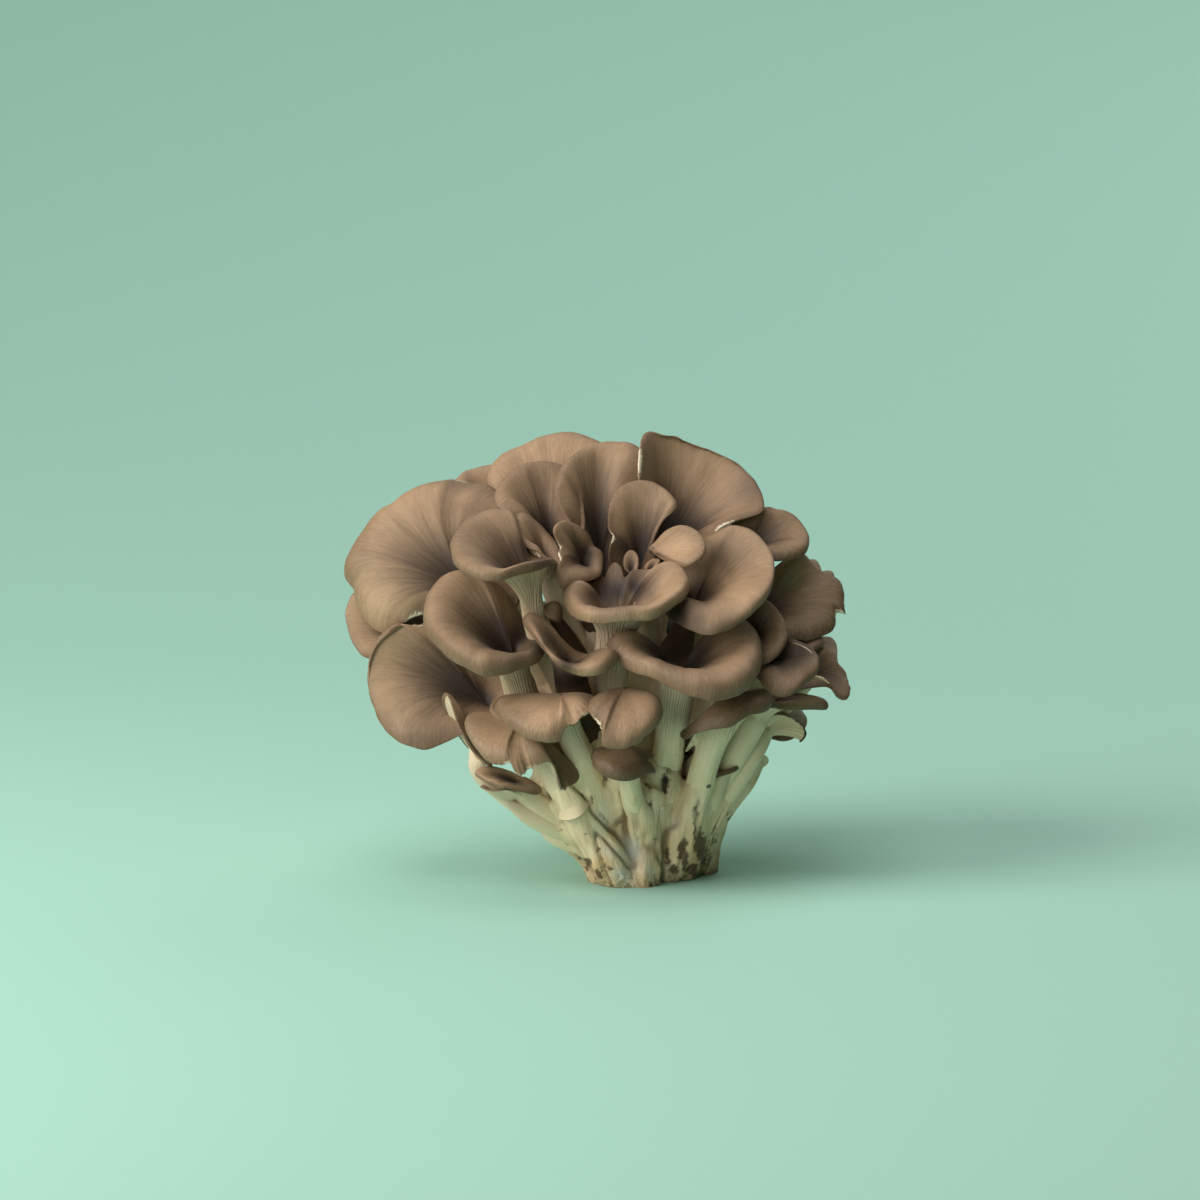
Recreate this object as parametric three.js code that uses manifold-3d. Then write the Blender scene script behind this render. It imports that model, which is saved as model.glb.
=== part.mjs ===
// A clustered brown mushroom standing on the flat cut underside of its stem base.
// Millimetres, +Z up, the front faces -Y, the origin is at the middle of the cut face.
//
// Every frond (a cap with its own stem) is one closed solid: a rim drawn in space, a top
// surface that dips from the rim to the throat, a gilled side that runs down the stem,
// and a curved stem that ends in the fused base. The base and the fronds are separate
// solids with a small gap between them.
import * as THREE from "three";
import { mergeVertices } from "three/addons/utils/BufferGeometryUtils.js";
import Module from "manifold-3d";

const wasm = await Module();
wasm.setup();

// Driving dimensions, mm and degrees.
const LEAN = 8;                 // the whole head leans back by this much
const SIGHT_X = -21;            // the layout is drawn square on from in front:
const SIGHT_Z = 100;            //   the eye is level with this point of the cluster
const SIGHT_DISTANCE = 2500;    //   and this far from it
const GAP = 0.3;                // kept between neighbouring solids
const RIM_THICKNESS = 1.3;      // flesh at the edge of a cap
const CAP_FLESH = 2.6;          // flesh half way in
const DISH_POINTS = 11;
const BANDS = [0.35, 0.75, 1];  // where the cap's rings lie, from throat to rim
const INNER_SHARE = 0.6;       // of the rim's points, in the ring next to the throat
const STEM_SIDES = 8;
const LIMB_SIDES = 7;
const SHORT_STEM = 0.6;         // of the way from throat to neck, where a limb takes over
const BASE_SIDES = 16;
const BRANCH_HEIGHT = 38;       // the base's solid foot ends here and its branches begin
const BRANCH_MIDDLE = -4;       // its branches are halved at this place across
const BASE_COLOUR = 0xb9a57e;
const CAP_COLOUR = 0x8a6f55;

// The fronds. throat is the lowest point of the cap's top, neck and foot shape the stem,
// girth gives the stem's radius at the throat, half way and at the foot. rim goes once
// round the edge: across, depth, height and, where it rolls, the edge's downward curl in
// degrees. roll is the size of that curl, deep how steeply the throat drops, open how
// far the throat leans outwards, flesh the cap's thickness.
const FRONDS = [
  // the heart of the rosette
  {"name": "front_centre_funnel", "throat": [-16.5, -24.5, 81.6], "neck": [-19.2, -19.5, 62.6],
   "foot": [-12, -8, 50],
   "girth": [6.5, 6.5, 7], "roll": 15, "deep": 0.35, "rim": [
    [-34, -30, 100, 80], [-31, -42, 95, 95], [-27, -50, 92.6, 100], [-20, -54, 91.6, 100],
    [-10, -55, 92.8, 100], [-2, -53, 93.3, 100], [5, -46, 97.2, 95], [10, -38, 101.5, 90],
    [11.3, -28, 106, 85], [9.4, -22.5, 110.5, 60], [5.4, -20, 113.2, 20], [0.8, -18, 112.6, -40],
    [-4, -16.8, 110.9, -50], [-9, -16.2, 111, -50], [-12, -17, 108, -50], [-13.6, -15.5, 112, -60],
    [-16, -14.5, 113.7, -60], [-18.2, -15.5, 110.5, -60], [-19.4, -16.5, 107.4, -60],
    [-21, -15.5, 109.5, -60],
    [-23, -17.5, 106.2, -60], [-27.5, -19.5, 106.5, -20], [-31, -22.5, 106.3, 10],
    [-33, -24, 104.5, 60]]},
  {"name": "ruffled_heart", "throat": [-27, -13, 110], "neck": [-25, -9, 92],
   "joins": [-16, -2, 78],
   "girth": [5, 5, 5], "roll": 8, "deep": 0.4, "rim": [
    [-37.8, -22, 124.5, 60], [-37, -20, 126.3, 60], [-34, -17, 127.6, 50], [-30, -14, 127.2, 40],
    [-27, -12, 125.6, 30], [-25, -11, 123.6, 20], [-23, -10, 119.5, 30], [-20.5, -12, 117.3, 50],
    [-20, -14, 113.5, 60], [-21, -18, 109, 70], [-25, -23, 107, 80], [-30, -26, 105.5, 80],
    [-34, -28, 104, 80], [-36.5, -28, 107, 70], [-37.2, -27, 110, 60], [-35.3, -24, 114, 40],
    [-36.4, -23.2, 117, 50], [-35.4, -21.8, 119, 50]]},
  {"name": "heart_spoon", "throat": [-7.8, -1.7, 104.5], "neck": [-10.5, 0.8, 91.8],
   "joins": [-9, 1, 80],
   "girth": [2.3, 5, 5], "roll": 7, "deep": 0.5, "flesh": 0.8, "rim": [
    [-16.3, -8.5, 123.8, -20], [-17.9, -8, 125.4, -10], [-17.8, -7.5, 131, 10], [-17, -5, 136, 40],
    [-14, -2.5, 140.5, 50], [-9.5, -1.5, 142.8, 55], [-4.5, -1.5, 142.8, 55], [0.5, -2.5, 141, 55],
    [4.5, -5, 138, 55], [7, -7, 134.5, 55], [5, -8, 131.6, 20], [1.5, -8, 128.3, -20],
    [-1, -7, 123.5, -50], [-3, -6, 117.5, -60], [-4.5, -5.5, 112, -60], [-9, -6, 109, -60],
    [-14, -7, 110.5, -60], [-17.3, -8, 114.5, -60], [-17.6, -8.5, 119, -40]]},
  {"name": "heart_tongue", "throat": [-2.1, -12.9, 118.8], "neck": [-2.9, -3.5, 109.4],
   "joins": [-4, -2, 78],
   "girth": [2.4, 4.5, 5], "roll": 4.2, "deep": 0.21, "flesh": 0.6, "open": 90, "rim": [
    [-3.6, -9.5, 119, 40], [0, -9.5, 122, 60], [4, -12, 125.3, 70], [8, -16, 126.6, 75],
    [12, -19, 125.7, 80],
    [15.5, -22, 123, 85], [17.3, -25, 119, 85], [16.3, -27, 116, 85], [13, -28, 113, 85],
    [9.5, -26.5, 111.6, 85],
    [5, -22, 113, 70], [1, -16.5, 115, 60], [-2, -12.5, 117, 50]]},
  {"name": "heart_bud_left", "bands": [0.6, 1], "throat": [-9.8, -10.4, 109.3],
   "neck": [-10.3, -6.2, 100], "joins": [-9, -3, 84],
   "girth": [1.9, 2.8, 3], "roll": 1.2, "deep": 0.3, "open": 20, "flesh": 0.7, "rim": [
    [-12.4, -11, 112.5, 0], [-12.3, -9.6, 115.6, 20], [-10.8, -8.6, 117.8, 40],
    [-8.6, -8.6, 117.7, 40],
    [-7.1, -9.8, 115.4, 20], [-7.3, -11.2, 112.2, 0], [-8.6, -12.4, 110.3, -20],
    [-11, -12.4, 110.3, -20]]},
  {"name": "heart_bud_right", "bands": [0.6, 1], "throat": [-3.3, -12.4, 109.6],
   "neck": [-3.6, -9, 103], "joins": [-5, -4, 84],
   "girth": [1.5, 2.6, 3], "roll": 1.2, "deep": 0.3, "open": 20, "flesh": 0.6, "rim": [
    [-5, -13, 111.6, 0], [-4, -12.3, 113.6, 20], [-2, -11.9, 114.8, 40], [0.2, -12, 114.8, 60],
    [0.7, -12.6, 113.8, 60], [-0.8, -13.4, 112, 20], [-2.6, -14, 110.6, -20],
    [-4.2, -14, 110.4, -20]]},
  {"name": "right_centre_ear", "throat": [10.3, -10.2, 92.5], "neck": [4.2, -6.8, 77.2],
   "joins": [2, -3, 60],
   "girth": [4, 7.5, 7], "roll": 14, "deep": 0.35, "rim": [
    [19, -8, 123.7, 50], [24, -10, 124.8, 65], [30, -14, 123.5, 80], [35.5, -19, 120.5, 85],
    [39.5, -24, 115.5, 90], [41.3, -29, 109.5, 90], [41, -34, 104, 90], [38.5, -38, 99.5, 90],
    [34.5, -42, 95.5, 90], [30, -45, 91.8, 90], [25, -47, 88.8, 90], [19, -48, 87.5, 90],
    [12, -46, 89, 90], [7.5, -42, 91.3, 85], [3.5, -35, 93.8, 80], [2.5, -24, 97, 60],
    [4, -12, 105, 30], [7, -4, 113, 20], [13, -4, 120, 30]]},
  {"name": "left_upper_funnel", "throat": [-45.2, -25.7, 97.1], "neck": [-43.2, -22.4, 81],
   "foot": [-24, -8, 54],
   "girth": [4.1, 4.5, 5], "roll": 12, "deep": 0.35, "flesh": 2, "rim": [
    [-36.3, -31, 113.2, 70], [-40, -38, 112, 90], [-45, -44, 110.5, 95], [-52, -50, 108.5, 100],
    [-58, -53, 107, 100], [-64, -52, 107.6, 95], [-70, -47, 110, 90], [-74, -41, 114, 85],
    [-74.8, -34, 119, 75], [-73, -27, 123.5, 65], [-69, -21, 127.7, 60], [-63, -16, 130.8, 50],
    [-57, -13, 131.8, 40], [-53, -12, 131.5, 30], [-50.5, -12, 127, 20], [-48, -13, 121, 10],
    [-44, -15, 117, 10], [-39, -22, 114.5, 40]]},
  {"name": "left_lower_funnel", "throat": [-50, -26, 69], "neck": [-47, -22, 56],
   "foot": [-22, -9, 36],
   "girth": [6, 5.5, 6.5], "roll": 18, "deep": 0.5, "rim": [
    [-41, -36, 82, 70], [-42.5, -42, 79, 85], [-45, -47, 77, 95], [-50, -53, 74.7, 100],
    [-56, -57, 73.2, 100], [-63, -58, 73.3, 100], [-70, -55, 76, 95], [-77, -49, 80.7, 90],
    [-82, -41, 86.5, 85], [-84.3, -34, 92, 80], [-84, -27, 98, 75], [-81.5, -21, 103.5, 65],
    [-76, -17, 107, 60], [-69, -14, 109.3, 50], [-62, -12, 108.5, 30], [-55, -12, 103, 20],
    [-50, -14, 96, 10], [-46, -20, 89, 20], [-42, -28, 84.5, 40]]},
  {"name": "centre_left_wave", "throat": [-31.8, -34.9, 73.4], "neck": [-28.8, -25.9, 55.6],
   "foot": [-14, -10, 40],
   "girth": [6, 6, 6.5], "roll": 10, "deep": 0.28, "flesh": 1.8, "open": 30, "rim": [
    [-48.7, -36, 92, 60], [-46, -42, 88, 80], [-43, -46, 84.5, 90], [-40, -50, 80.5, 95],
    [-37, -53, 77, 100], [-33, -55, 74, 100], [-28, -56, 72.5, 100], [-22, -56, 73, 100],
    [-18, -54, 75, 95], [-15, -50, 78, 85], [-14, -43, 80, 60], [-18, -35, 80, 40],
    [-24, -31, 80, 30],
    [-30, -29, 82, 30], [-35, -28, 87, 30], [-39, -28, 91, 30], [-43, -29, 93.5, 40],
    [-47, -32, 94.5, 50]]},
  {"name": "front_right_broad", "throat": [6, -28, 64], "neck": [4, -23, 50], "foot": [2, -10, 32],
   "girth": [6.5, 5.5, 7], "roll": 17, "deep": 0.5, "rim": [
    [-18.6, -40, 84, 70], [-17, -44, 81, 85], [-13.5, -48, 76.5, 90], [-9, -51, 74, 95],
    [-4, -53, 72.8, 95], [1, -55, 70.5, 95], [6, -57, 68, 95], [12, -59, 65.4, 95],
    [20, -59, 64, 95],
    [27, -56, 65.3, 95], [32, -51, 68, 95], [35.5, -45, 72, 90], [37.3, -38, 77.5, 85],
    [37.2, -31, 84, 75], [34.5, -25, 89, 65], [30, -21, 91, 50], [23, -18, 88, 30],
    [15, -17, 83, 10],
    [8, -18, 79, 10], [1, -22, 80, 20], [-6, -27, 83, 30], [-12, -32, 85.5, 40],
    [-17, -36, 85.5, 50]]},
  {"name": "front_wide_cap_left", "throat": [-38, -45, 63], "neck": [-32, -34, 47],
   "foot": [-16, -16, 18],
   "girth": [5, 5, 5.5], "roll": 9, "deep": 0.3, "open": 90, "flesh": 2, "rim": [
    [-55.3, -46, 60, 70], [-54.5, -52, 56.5, 80], [-51.5, -56, 53, 85], [-47.5, -59, 50.3, 90],
    [-43, -60, 49, 90], [-38.5, -60, 48.8, 90], [-35.3, -59, 49.6, 80], [-34, -58, 53, 60],
    [-32.6, -57, 54.8, 50], [-30, -56.5, 55.2, 40], [-27.5, -55.5, 57.2, 40], [-24.8, -53, 59, 40],
    [-23.5, -47, 61, 40], [-25, -37, 59.5, 60], [-31, -31, 58, 80],
    [-42, -33, 58.5, 80], [-49, -37, 59, 80], [-54.5, -42, 59.5, 75]]},
  {"name": "front_wide_cap_right", "throat": [-12, -43, 66.5], "neck": [-14.5, -33, 50],
   "foot": [-14, -15, 18],
   "girth": [5, 5, 5.5], "roll": 9, "deep": 0.3, "open": 90, "flesh": 2, "rim": [
    [-25.4, -55.5, 60.4, 60], [-24.4, -57.5, 58.4, 60], [-22.9, -59.2, 56, 65],
    [-21.2, -61, 52.5, 75],
    [-20.5, -62, 49.5, 85], [-19.8, -62, 47.3, 90], [-15, -63, 46.6, 90], [-10, -63, 47.6, 90],
    [-5, -61, 50.2, 90], [-1, -57, 54, 85], [1.2, -51, 58, 80], [1.3, -45, 62, 75],
    [-1.5, -38, 61.5, 80],
    [-5, -33, 61, 80], [-12, -30, 60.5, 80], [-20, -33, 61, 70], [-25.5, -40, 62, 60],
    [-27, -49, 61.5, 60]]},
  // the small caps under the rosette's front edge
  {"name": "front_small_cap", "throat": [-13, -44, 47.5], "neck": [-10.5, -35, 33],
   "foot": [-7, -17, 18],
   "girth": [4.5, 4, 5], "roll": 9, "deep": 0.3, "open": 90, "rim": [
    [-24.2, -47, 43, 80], [-23.3, -51, 39.5, 85], [-20.5, -54, 37, 85], [-16, -56, 35.2, 85],
    [-11, -56, 34.9, 85], [-6.5, -54, 36, 80], [-3, -51, 37.8, 70], [-0.8, -48, 38.8, 60],
    [-2.5, -47, 40.4, 60], [-4.2, -45.8, 41.2, 60], [-3.8, -45, 42.6, 60], [-1.5, -42, 43.8, 60],
    [-5, -37, 43, 80], [-12, -34, 42.5, 80], [-19, -36, 42.5, 80], [-23.3, -41, 43.5, 80]]},
  {"name": "lower_left_drape", "throat": [-49, -37, 58], "neck": [-40, -30, 41],
   "foot": [-19, -20, 10],
   "girth": [3.8, 5.8, 5.5], "roll": 9, "deep": 0.3, "flesh": 1.05, "open": 90, "rim": [
    [-69.6, -39, 53.5, 75], [-69, -36, 56, 60], [-66, -33, 55, 70], [-60, -29, 54, 80],
    [-53, -27, 53, 80], [-44, -27, 50, 80], [-36, -29, 46, 70], [-32, -34, 43, 60],
    [-28.5, -38, 37, 70], [-31, -42, 33, 80], [-33.7, -44, 30.2, 80], [-35.5, -48, 36, 80],
    [-37, -50.5, 40, 80], [-40, -51.5, 41.5, 80], [-44, -52, 39.5, 80], [-46.5, -52, 37.3, 80],
    [-50, -53, 35.8, 85], [-52, -53, 37.5, 85], [-54, -53, 40.5, 85], [-57, -52, 40.3, 85],
    [-62, -49, 42, 85], [-65.5, -46, 46, 85], [-68.3, -43, 50.5, 80]]},
  {"name": "left_edge_lip", "throat": [-49.8, -29.7, 59.7], "neck": [-43.8, -24.7, 43.7],
   "foot": [-20, -12, 24],
   "girth": [5, 4.5, 5], "roll": 3.6, "deep": 0.17, "open": 60, "rim": [
    [-60.3, -37, 59.2, 75], [-60.5, -35, 62, 70], [-58.5, -32, 64.3, 60], [-55, -28, 65.6, 60],
    [-48, -24, 64.5, 60], [-42, -23, 60, 60], [-42, -30, 55, 60], [-48, -38, 54, 70],
    [-56, -40, 56, 75]]},
  {"name": "left_upright_flap", "throat": [-64, -28, 44], "neck": [-66, -27, 32],
   "foot": [-25, -15, 14],
   "girth": [4, 4, 4.5], "roll": 5, "deep": 0.3, "open": 30, "flesh": 1.8, "rim": [
    [-60, -31, 41, 0], [-65.5, -36, 45, 0], [-69, -36, 50, 0], [-72, -34, 56, 0],
    [-73.5, -31, 61, 0], [-76.5, -29, 66.5, 10],
    [-77.5, -26, 63, 20], [-75, -22, 57, 20], [-72, -20, 52, 20], [-68, -20, 47, 20],
    [-62, -22, 42, 20]]},
  {"name": "lower_left_shelf_upper", "throat": [-51.4, -31, 34], "neck": [-44.5, -22.1, 25.6],
   "foot": [-23, -16, 13],
   "girth": [3.4, 4.5, 4.5], "roll": 4.9, "deep": 0.2, "open": 55, "flesh": 0.8, "rim": [
    [-66, -32, 37.3, 60], [-64, -30, 39.3, 50], [-60, -27, 40, 40], [-54, -25, 39, 40],
    [-47, -25, 36, 40], [-42, -29, 32, 50], [-44, -35, 30, 60], [-50, -38, 31, 70],
    [-54, -39, 32.3, 70],
    [-57, -39, 32, 70], [-59, -38, 33.5, 70], [-62, -36, 34.2, 70]]},
  {"name": "lower_left_shelf_lower", "bands": [0.6, 1], "throat": [-54.2, -27.8, 26.9],
   "neck": [-48.6, -26.3, 22.3], "foot": [-23, -14, 12],
   "girth": [2, 3.6, 4], "roll": 4, "deep": 0.28, "flesh": 0.75, "rim": [
    [-64.2, -32, 32.6, 40], [-62.5, -28, 33.5, 40], [-57, -24, 33, 30], [-50, -24, 31, 30],
    [-47, -28, 30, 40], [-50, -34, 31, 50], [-54, -36, 32, 60], [-58, -36, 31.3, 60],
    [-62, -35, 31.6, 60]]},
  {"name": "lowest_left_stub", "bands": [0.6, 1], "throat": [-44.9, -18.6, 20.7],
   "neck": [-40, -18, 17], "foot": [-26, -13, 9],
   "girth": [2.8, 3.6, 4.2], "roll": 1.8, "deep": 0.15, "open": 60, "flesh": 0.95, "rim": [
    [-48.5, -18, 22, 90], [-47.5, -15, 24, 80], [-44.5, -14, 23.6, 60], [-42.5, -17, 20.8, 50],
    [-44, -21, 19.6, 70], [-47, -21, 20.2, 90]]},
  {"name": "left_collar_cup", "bands": [0.6, 1], "throat": [-31, -32, 23.4],
   "neck": [-25.5, -27, 14], "foot": [-20, -19, 7],
   "girth": [3, 3.4, 4.5], "roll": 2, "deep": 0.2, "open": 60, "flesh": 0.9, "rim": [
    [-36, -33, 21.8, 20], [-33.5, -36, 20.8, 20], [-30, -37.5, 20.8, 20], [-27.2, -36.5, 22.2, 20],
    [-25.4, -33, 25, 20], [-25.6, -29, 27.4, 20], [-29, -26.5, 27.6, 20], [-33.5, -28, 25, 20]]},
  {"name": "right_lower_cap", "throat": [27, -31, 67], "neck": [17, -27, 46], "foot": [10, -8, 14],
   "girth": [7, 5, 6], "roll": 12, "deep": 0.3, "open": 90, "rim": [
    [8.2, -40, 51, 60], [10, -43, 50.5, 80], [12.5, -45, 51.7, 90], [17, -47, 53, 90],
    [22, -48, 54.1, 90],
    [26.5, -48, 54.8, 90], [30, -47, 57, 85], [34, -45, 59, 80], [37, -43, 59.3, 80],
    [40.3, -39, 61, 75],
    [41.2, -33, 64.5, 65], [39.5, -28, 64.5, 70], [34, -27, 61.5, 80], [27, -25, 59.5, 80],
    [18, -24, 56.5, 80],
    [11, -31, 53, 70], [8.5, -36, 53, 50]]},
  {"name": "right_under_cap", "throat": [34, -18, 57], "neck": [27, -13, 43], "foot": [14, -6, 24],
   "girth": [5.5, 5, 5], "roll": 7, "deep": 0.4, "rim": [
    [26, -26, 61, 40], [31, -29, 61, 50], [36, -31, 60, 60], [40.5, -29, 61.3, 60],
    [44.5, -24.5, 60.6, 60],
    [51, -21.5, 60.4, 70], [59.5, -20, 60.4, 70], [61.3, -18.8, 62, 60], [60, -17.5, 63.3, 50],
    [51, -16, 64.3, 50],
    [46, -13.5, 63, 50], [43, -9, 62, 50], [36, -7, 62, 40], [29, -10, 61, 30],
    [25.5, -17, 60.5, 30]]},
  {"name": "right_small_round", "bands": [0.6, 1], "throat": [23, -15, 38.5],
   "neck": [19, -12, 30], "foot": [14, -4, 16],
   "girth": [4, 4, 4.5], "roll": 5, "deep": 0.25, "open": 60, "flesh": 2, "rim": [
    [17.8, -18, 36.5, 70], [20, -21, 36, 80], [24, -21, 37, 80], [28, -18, 38.6, 80],
    [29, -14, 39.8, 70],
    [27, -11, 41, 60], [23.5, -10, 41.8, 60], [20, -12, 39.8, 60]]},
  {"name": "right_curled_frond", "throat": [37.5, -8.1, 52], "neck": [32.5, -12.6, 40.7],
   "foot": [17, -3, 20],
   "girth": [3.8, 4, 5], "roll": 5, "deep": 0.28, "flesh": 1.05, "rim": [
    [34, -13, 55.5, 30], [38, -15, 58, 40], [44, -16, 59.2, 60], [49, -14, 57.8, 80],
    [52.5, -12, 54.5, 110],
    [53, -12, 51, 130], [51, -10, 48.8, 140], [52, -4, 50, 120], [51, 2, 54, 90], [46, 6, 58, 60],
    [39, 5, 58.5, 40], [34, 0, 56.5, 30], [32.5, -7, 55, 30]]},
  {"name": "right_stub", "bands": [0.6, 1], "throat": [37.6, -4.3, 41.0], "neck": [33, -2.5, 34],
   "foot": [20, -3, 20],
   "girth": [2.2, 2.8, 3.4], "roll": 2, "deep": 0.2, "open": 60, "flesh": 0.55, "rim": [
    [36.5, -6, 43.6, 70], [38.8, -5, 43.5, 90], [39.2, -2, 41.5, 100], [37.5, -1, 39.8, 90],
    [35.5, -2, 40.5, 70], [35, -5, 42, 60]]},
  // the right-hand side
  {"name": "right_shaded_cap", "throat": [31.6, -22.2, 82], "neck": [27.4, -16.6, 67.4],
   "joins": [10, -3, 56],
   "girth": [4.5, 5.5, 6], "roll": 6.3, "deep": 0.4, "flesh": 0.8, "rim": [
    [34, -18, 98.5, 40], [38.5, -21, 99.6, 60], [42, -24, 97.3, 70], [44.8, -27, 93, 80],
    [46.3, -30, 88, 85], [46, -32, 84.5, 85], [44, -34, 81, 85], [41, -35, 78.2, 85],
    [37.5, -35, 76.8, 80],
    [32, -32, 77, 70], [26, -26, 80, 50], [22, -17, 85, 30], [23, -10, 91, 20], [28, -7, 97, 30]]},
  {"name": "far_right_fan", "throat": [35, -1.3, 92], "neck": [23.9, 0.8, 74.2],
   "joins": [14, 2, 60],
   "girth": [6.5, 6, 6], "roll": 10, "deep": 0.28, "flesh": 1.4, "rim": [
    [41, 3, 111, 10], [47, 6, 115.5, 20], [51.5, 7, 116.6, 40], [55, 6, 113, 50],
    [58, 5, 109.6, 50],
    [61.5, 4, 107, 60], [65, 2, 104.8, 65], [66.8, -1, 101, 65], [67.3, -3, 98, 60],
    [68.2, -5, 95.2, 50],
    [65.3, -6, 96, 50], [64.8, -7, 92.5, 60], [63.3, -9, 89.5, 60], [60, -11, 87.8, 60],
    [57, -12, 86.7, 60],
    [53, -13, 85.6, 60], [51, -13, 86.4, 60], [48.5, -14, 85.8, 60], [45, -14, 86.5, 50],
    [38, -12, 87, 30],
    [31, -8, 89, 20], [30, -3, 95, 10], [35, 0, 104, 10]]},
  {"name": "upper_right_cap", "throat": [30, 2, 114], "neck": [20, 4, 96], "joins": [4, 4, 72],
   "girth": [6, 6, 6], "roll": 9, "deep": 0.4, "rim": [
    [26, 2, 127, 30], [32, 6, 131, 45], [38, 8, 132.6, 60], [42, 8, 131.3, 60], [46, 7, 130.3, 65],
    [50, 5, 127.8, 70], [52.8, 2, 124.5, 75], [54.3, -2, 120.5, 80], [53.8, -6, 117.5, 80],
    [51.5, -9, 115.8, 80], [47, -11, 114.8, 80], [43, -11, 114.3, 70], [39, -10, 114.5, 60],
    [33, -8, 113, 40], [27, -5, 113, 20], [24, -1, 118, 10]]},
  {"name": "right_round_cap", "throat": [39, -26, 76], "neck": [30, -21, 60], "joins": [13, -8, 42],
   "girth": [6, 5, 5.5], "roll": 9, "deep": 0.35, "open": 30, "rim": [
    [40, -25, 83.5, 40], [46, -27, 84.4, 60], [50.5, -29, 83.4, 70], [54.3, -32, 80.8, 80],
    [56.8, -35, 77, 85], [57.3, -38, 74, 85], [55, -40, 71.3, 85], [52, -42, 69, 85],
    [49, -43, 66.8, 85],
    [45, -43, 65.6, 85], [41.5, -42, 66, 85], [38.5, -40, 68.5, 80], [36, -36, 71.8, 70],
    [33, -30, 75, 50], [35, -26, 80, 40]]},
  {"name": "right_dark_frill", "throat": [45.5, -7.5, 79.6], "neck": [39.7, -2.2, 63.8],
   "joins": [18, -1, 54],
   "girth": [4.5, 4.5, 5], "roll": 4.2, "deep": 0.35, "flesh": 1.1, "rim": [
    [58, -9, 87.6, 40], [60, -11, 85, 50], [58.5, -13, 83.5, 50], [54, -15, 81, 50],
    [48, -16, 78, 50],
    [42, -13, 76, 40], [39, -6, 79, 20], [44, -2, 86, 20], [52, -4, 88.5, 30]]},
  {"name": "far_right_tongue", "throat": [51.2, -11.1, 71.1], "neck": [37.7, -5.5, 53.8],
   "joins": [18, -4, 42],
   "girth": [5, 4.5, 5], "roll": 4.5, "deep": 0.35, "flesh": 0.75, "rim": [
    [52, -9, 79, 20], [55, -9, 81.4, 20], [59.3, -10, 83.2, 40], [62, -12, 81.3, 60],
    [64.2, -14, 79, 70],
    [64.5, -16, 76.3, 80], [66.8, -18, 73.5, 90], [68.3, -20, 70.5, 95], [69.5, -22, 67.3, 95],
    [68.8, -24, 65, 95], [66.8, -25, 64, 95], [64.3, -25, 65.3, 90], [62.5, -24, 68, 80],
    [59.8, -20.8, 69, 60],
    [54, -20, 68.5, 50], [48, -19, 67.5, 40], [44, -15, 69, 20], [47, -11, 74, 10]]},
  // the big fans at the left and the back
  {"name": "big_left_fan", "flesh": 1.55, "throat": [-62.7, -10.6, 97.1],
   "neck": [-43.5, -1.6, 76], "joins": [-30, -3, 62],
   "girth": [8, 7, 7], "roll": 20, "deep": 0.5, "rim": [
    [-84, -16, 94.5, 30], [-88, -16, 94, 40], [-92, -16, 92, 50], [-96, -15, 89.3, 60],
    [-99, -14, 88.3, 60],
    [-103.5, -12, 90.8, 60], [-107, -10, 95.5, 55], [-109, -8, 100.5, 55], [-109.8, -7, 104.3, 50],
    [-112.3, -4, 108.5, 55], [-111.3, -1, 113, 55], [-108.5, 2, 119, 55], [-104.5, 5, 125.3, 55],
    [-100, 7, 130, 55], [-94, 9, 134, 55], [-88, 11, 138, 55], [-82, 12, 141.2, 50],
    [-76.5, 12, 143.7, 40],
    [-73.5, 11, 143.8, 30], [-71, 12.3, 143.2, 30], [-65, 14, 141.8, 40], [-58, 13, 141, 40],
    [-50, 8, 136, 20], [-47, 2, 124, 10], [-48, -6, 108, 0], [-54, -13, 94, 0], [-64, -17, 88, 0],
    [-75, -17, 91, 10]]},
  {"name": "left_under_fan", "flesh": 0.9, "throat": [-78.2, -8, 82.7], "neck": [-62.4, -5, 72.3],
   "joins": [-38, -4, 58],
   "girth": [4.5, 6, 6], "roll": 4.5, "deep": 0.4, "rim": [
    [-109, -5, 103, 40], [-111.5, -6, 99, 50], [-112.6, -7, 94.5, 55], [-111.8, -9, 89.5, 60],
    [-110, -11, 84.5, 60], [-107.5, -13, 81, 60], [-103.8, -14, 79, 60], [-97, -14, 78, 50],
    [-88, -13, 77, 40], [-78, -12, 80, 20], [-74, -6, 88, 10], [-80, 0, 98, 10], [-92, 2, 105, 20],
    [-102, -1, 107, 30]]},
  {"name": "left_lower_fan", "flesh": 1.55, "throat": [-60.6, -15.9, 60.8],
   "neck": [-50.7, -15.1, 48.6], "joins": [-22, -9, 32],
   "girth": [6.5, 6.5, 6], "roll": 13, "deep": 0.45, "rim": [
    [-83, -15, 92.6, 40], [-90, -16, 91.6, 50], [-96, -17, 88.5, 60], [-100.5, -17, 84.5, 65],
    [-103.3, -17, 79, 70], [-104.5, -17, 72.5, 70], [-103.8, -18, 66, 70], [-102, -20, 60.3, 70],
    [-101, -21, 57.5, 70], [-98, -23, 53, 70], [-94, -25, 49.5, 70], [-89, -27, 47.5, 70],
    [-84, -28, 46.3, 70],
    [-79, -28, 47.8, 65], [-74, -28, 50.5, 60], [-67, -28, 54, 40], [-59, -26, 57, 20],
    [-54, -20, 62, 0],
    [-53, -13, 72, 0], [-58, -9, 80, 10], [-68, -9, 86, 20], [-76, -12, 90.5, 30]]},
  {"name": "left_back_fan", "throat": [-57, 13.9, 112.1], "neck": [-49, 15.4, 92],
   "joins": [-20, 6, 70],
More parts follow.
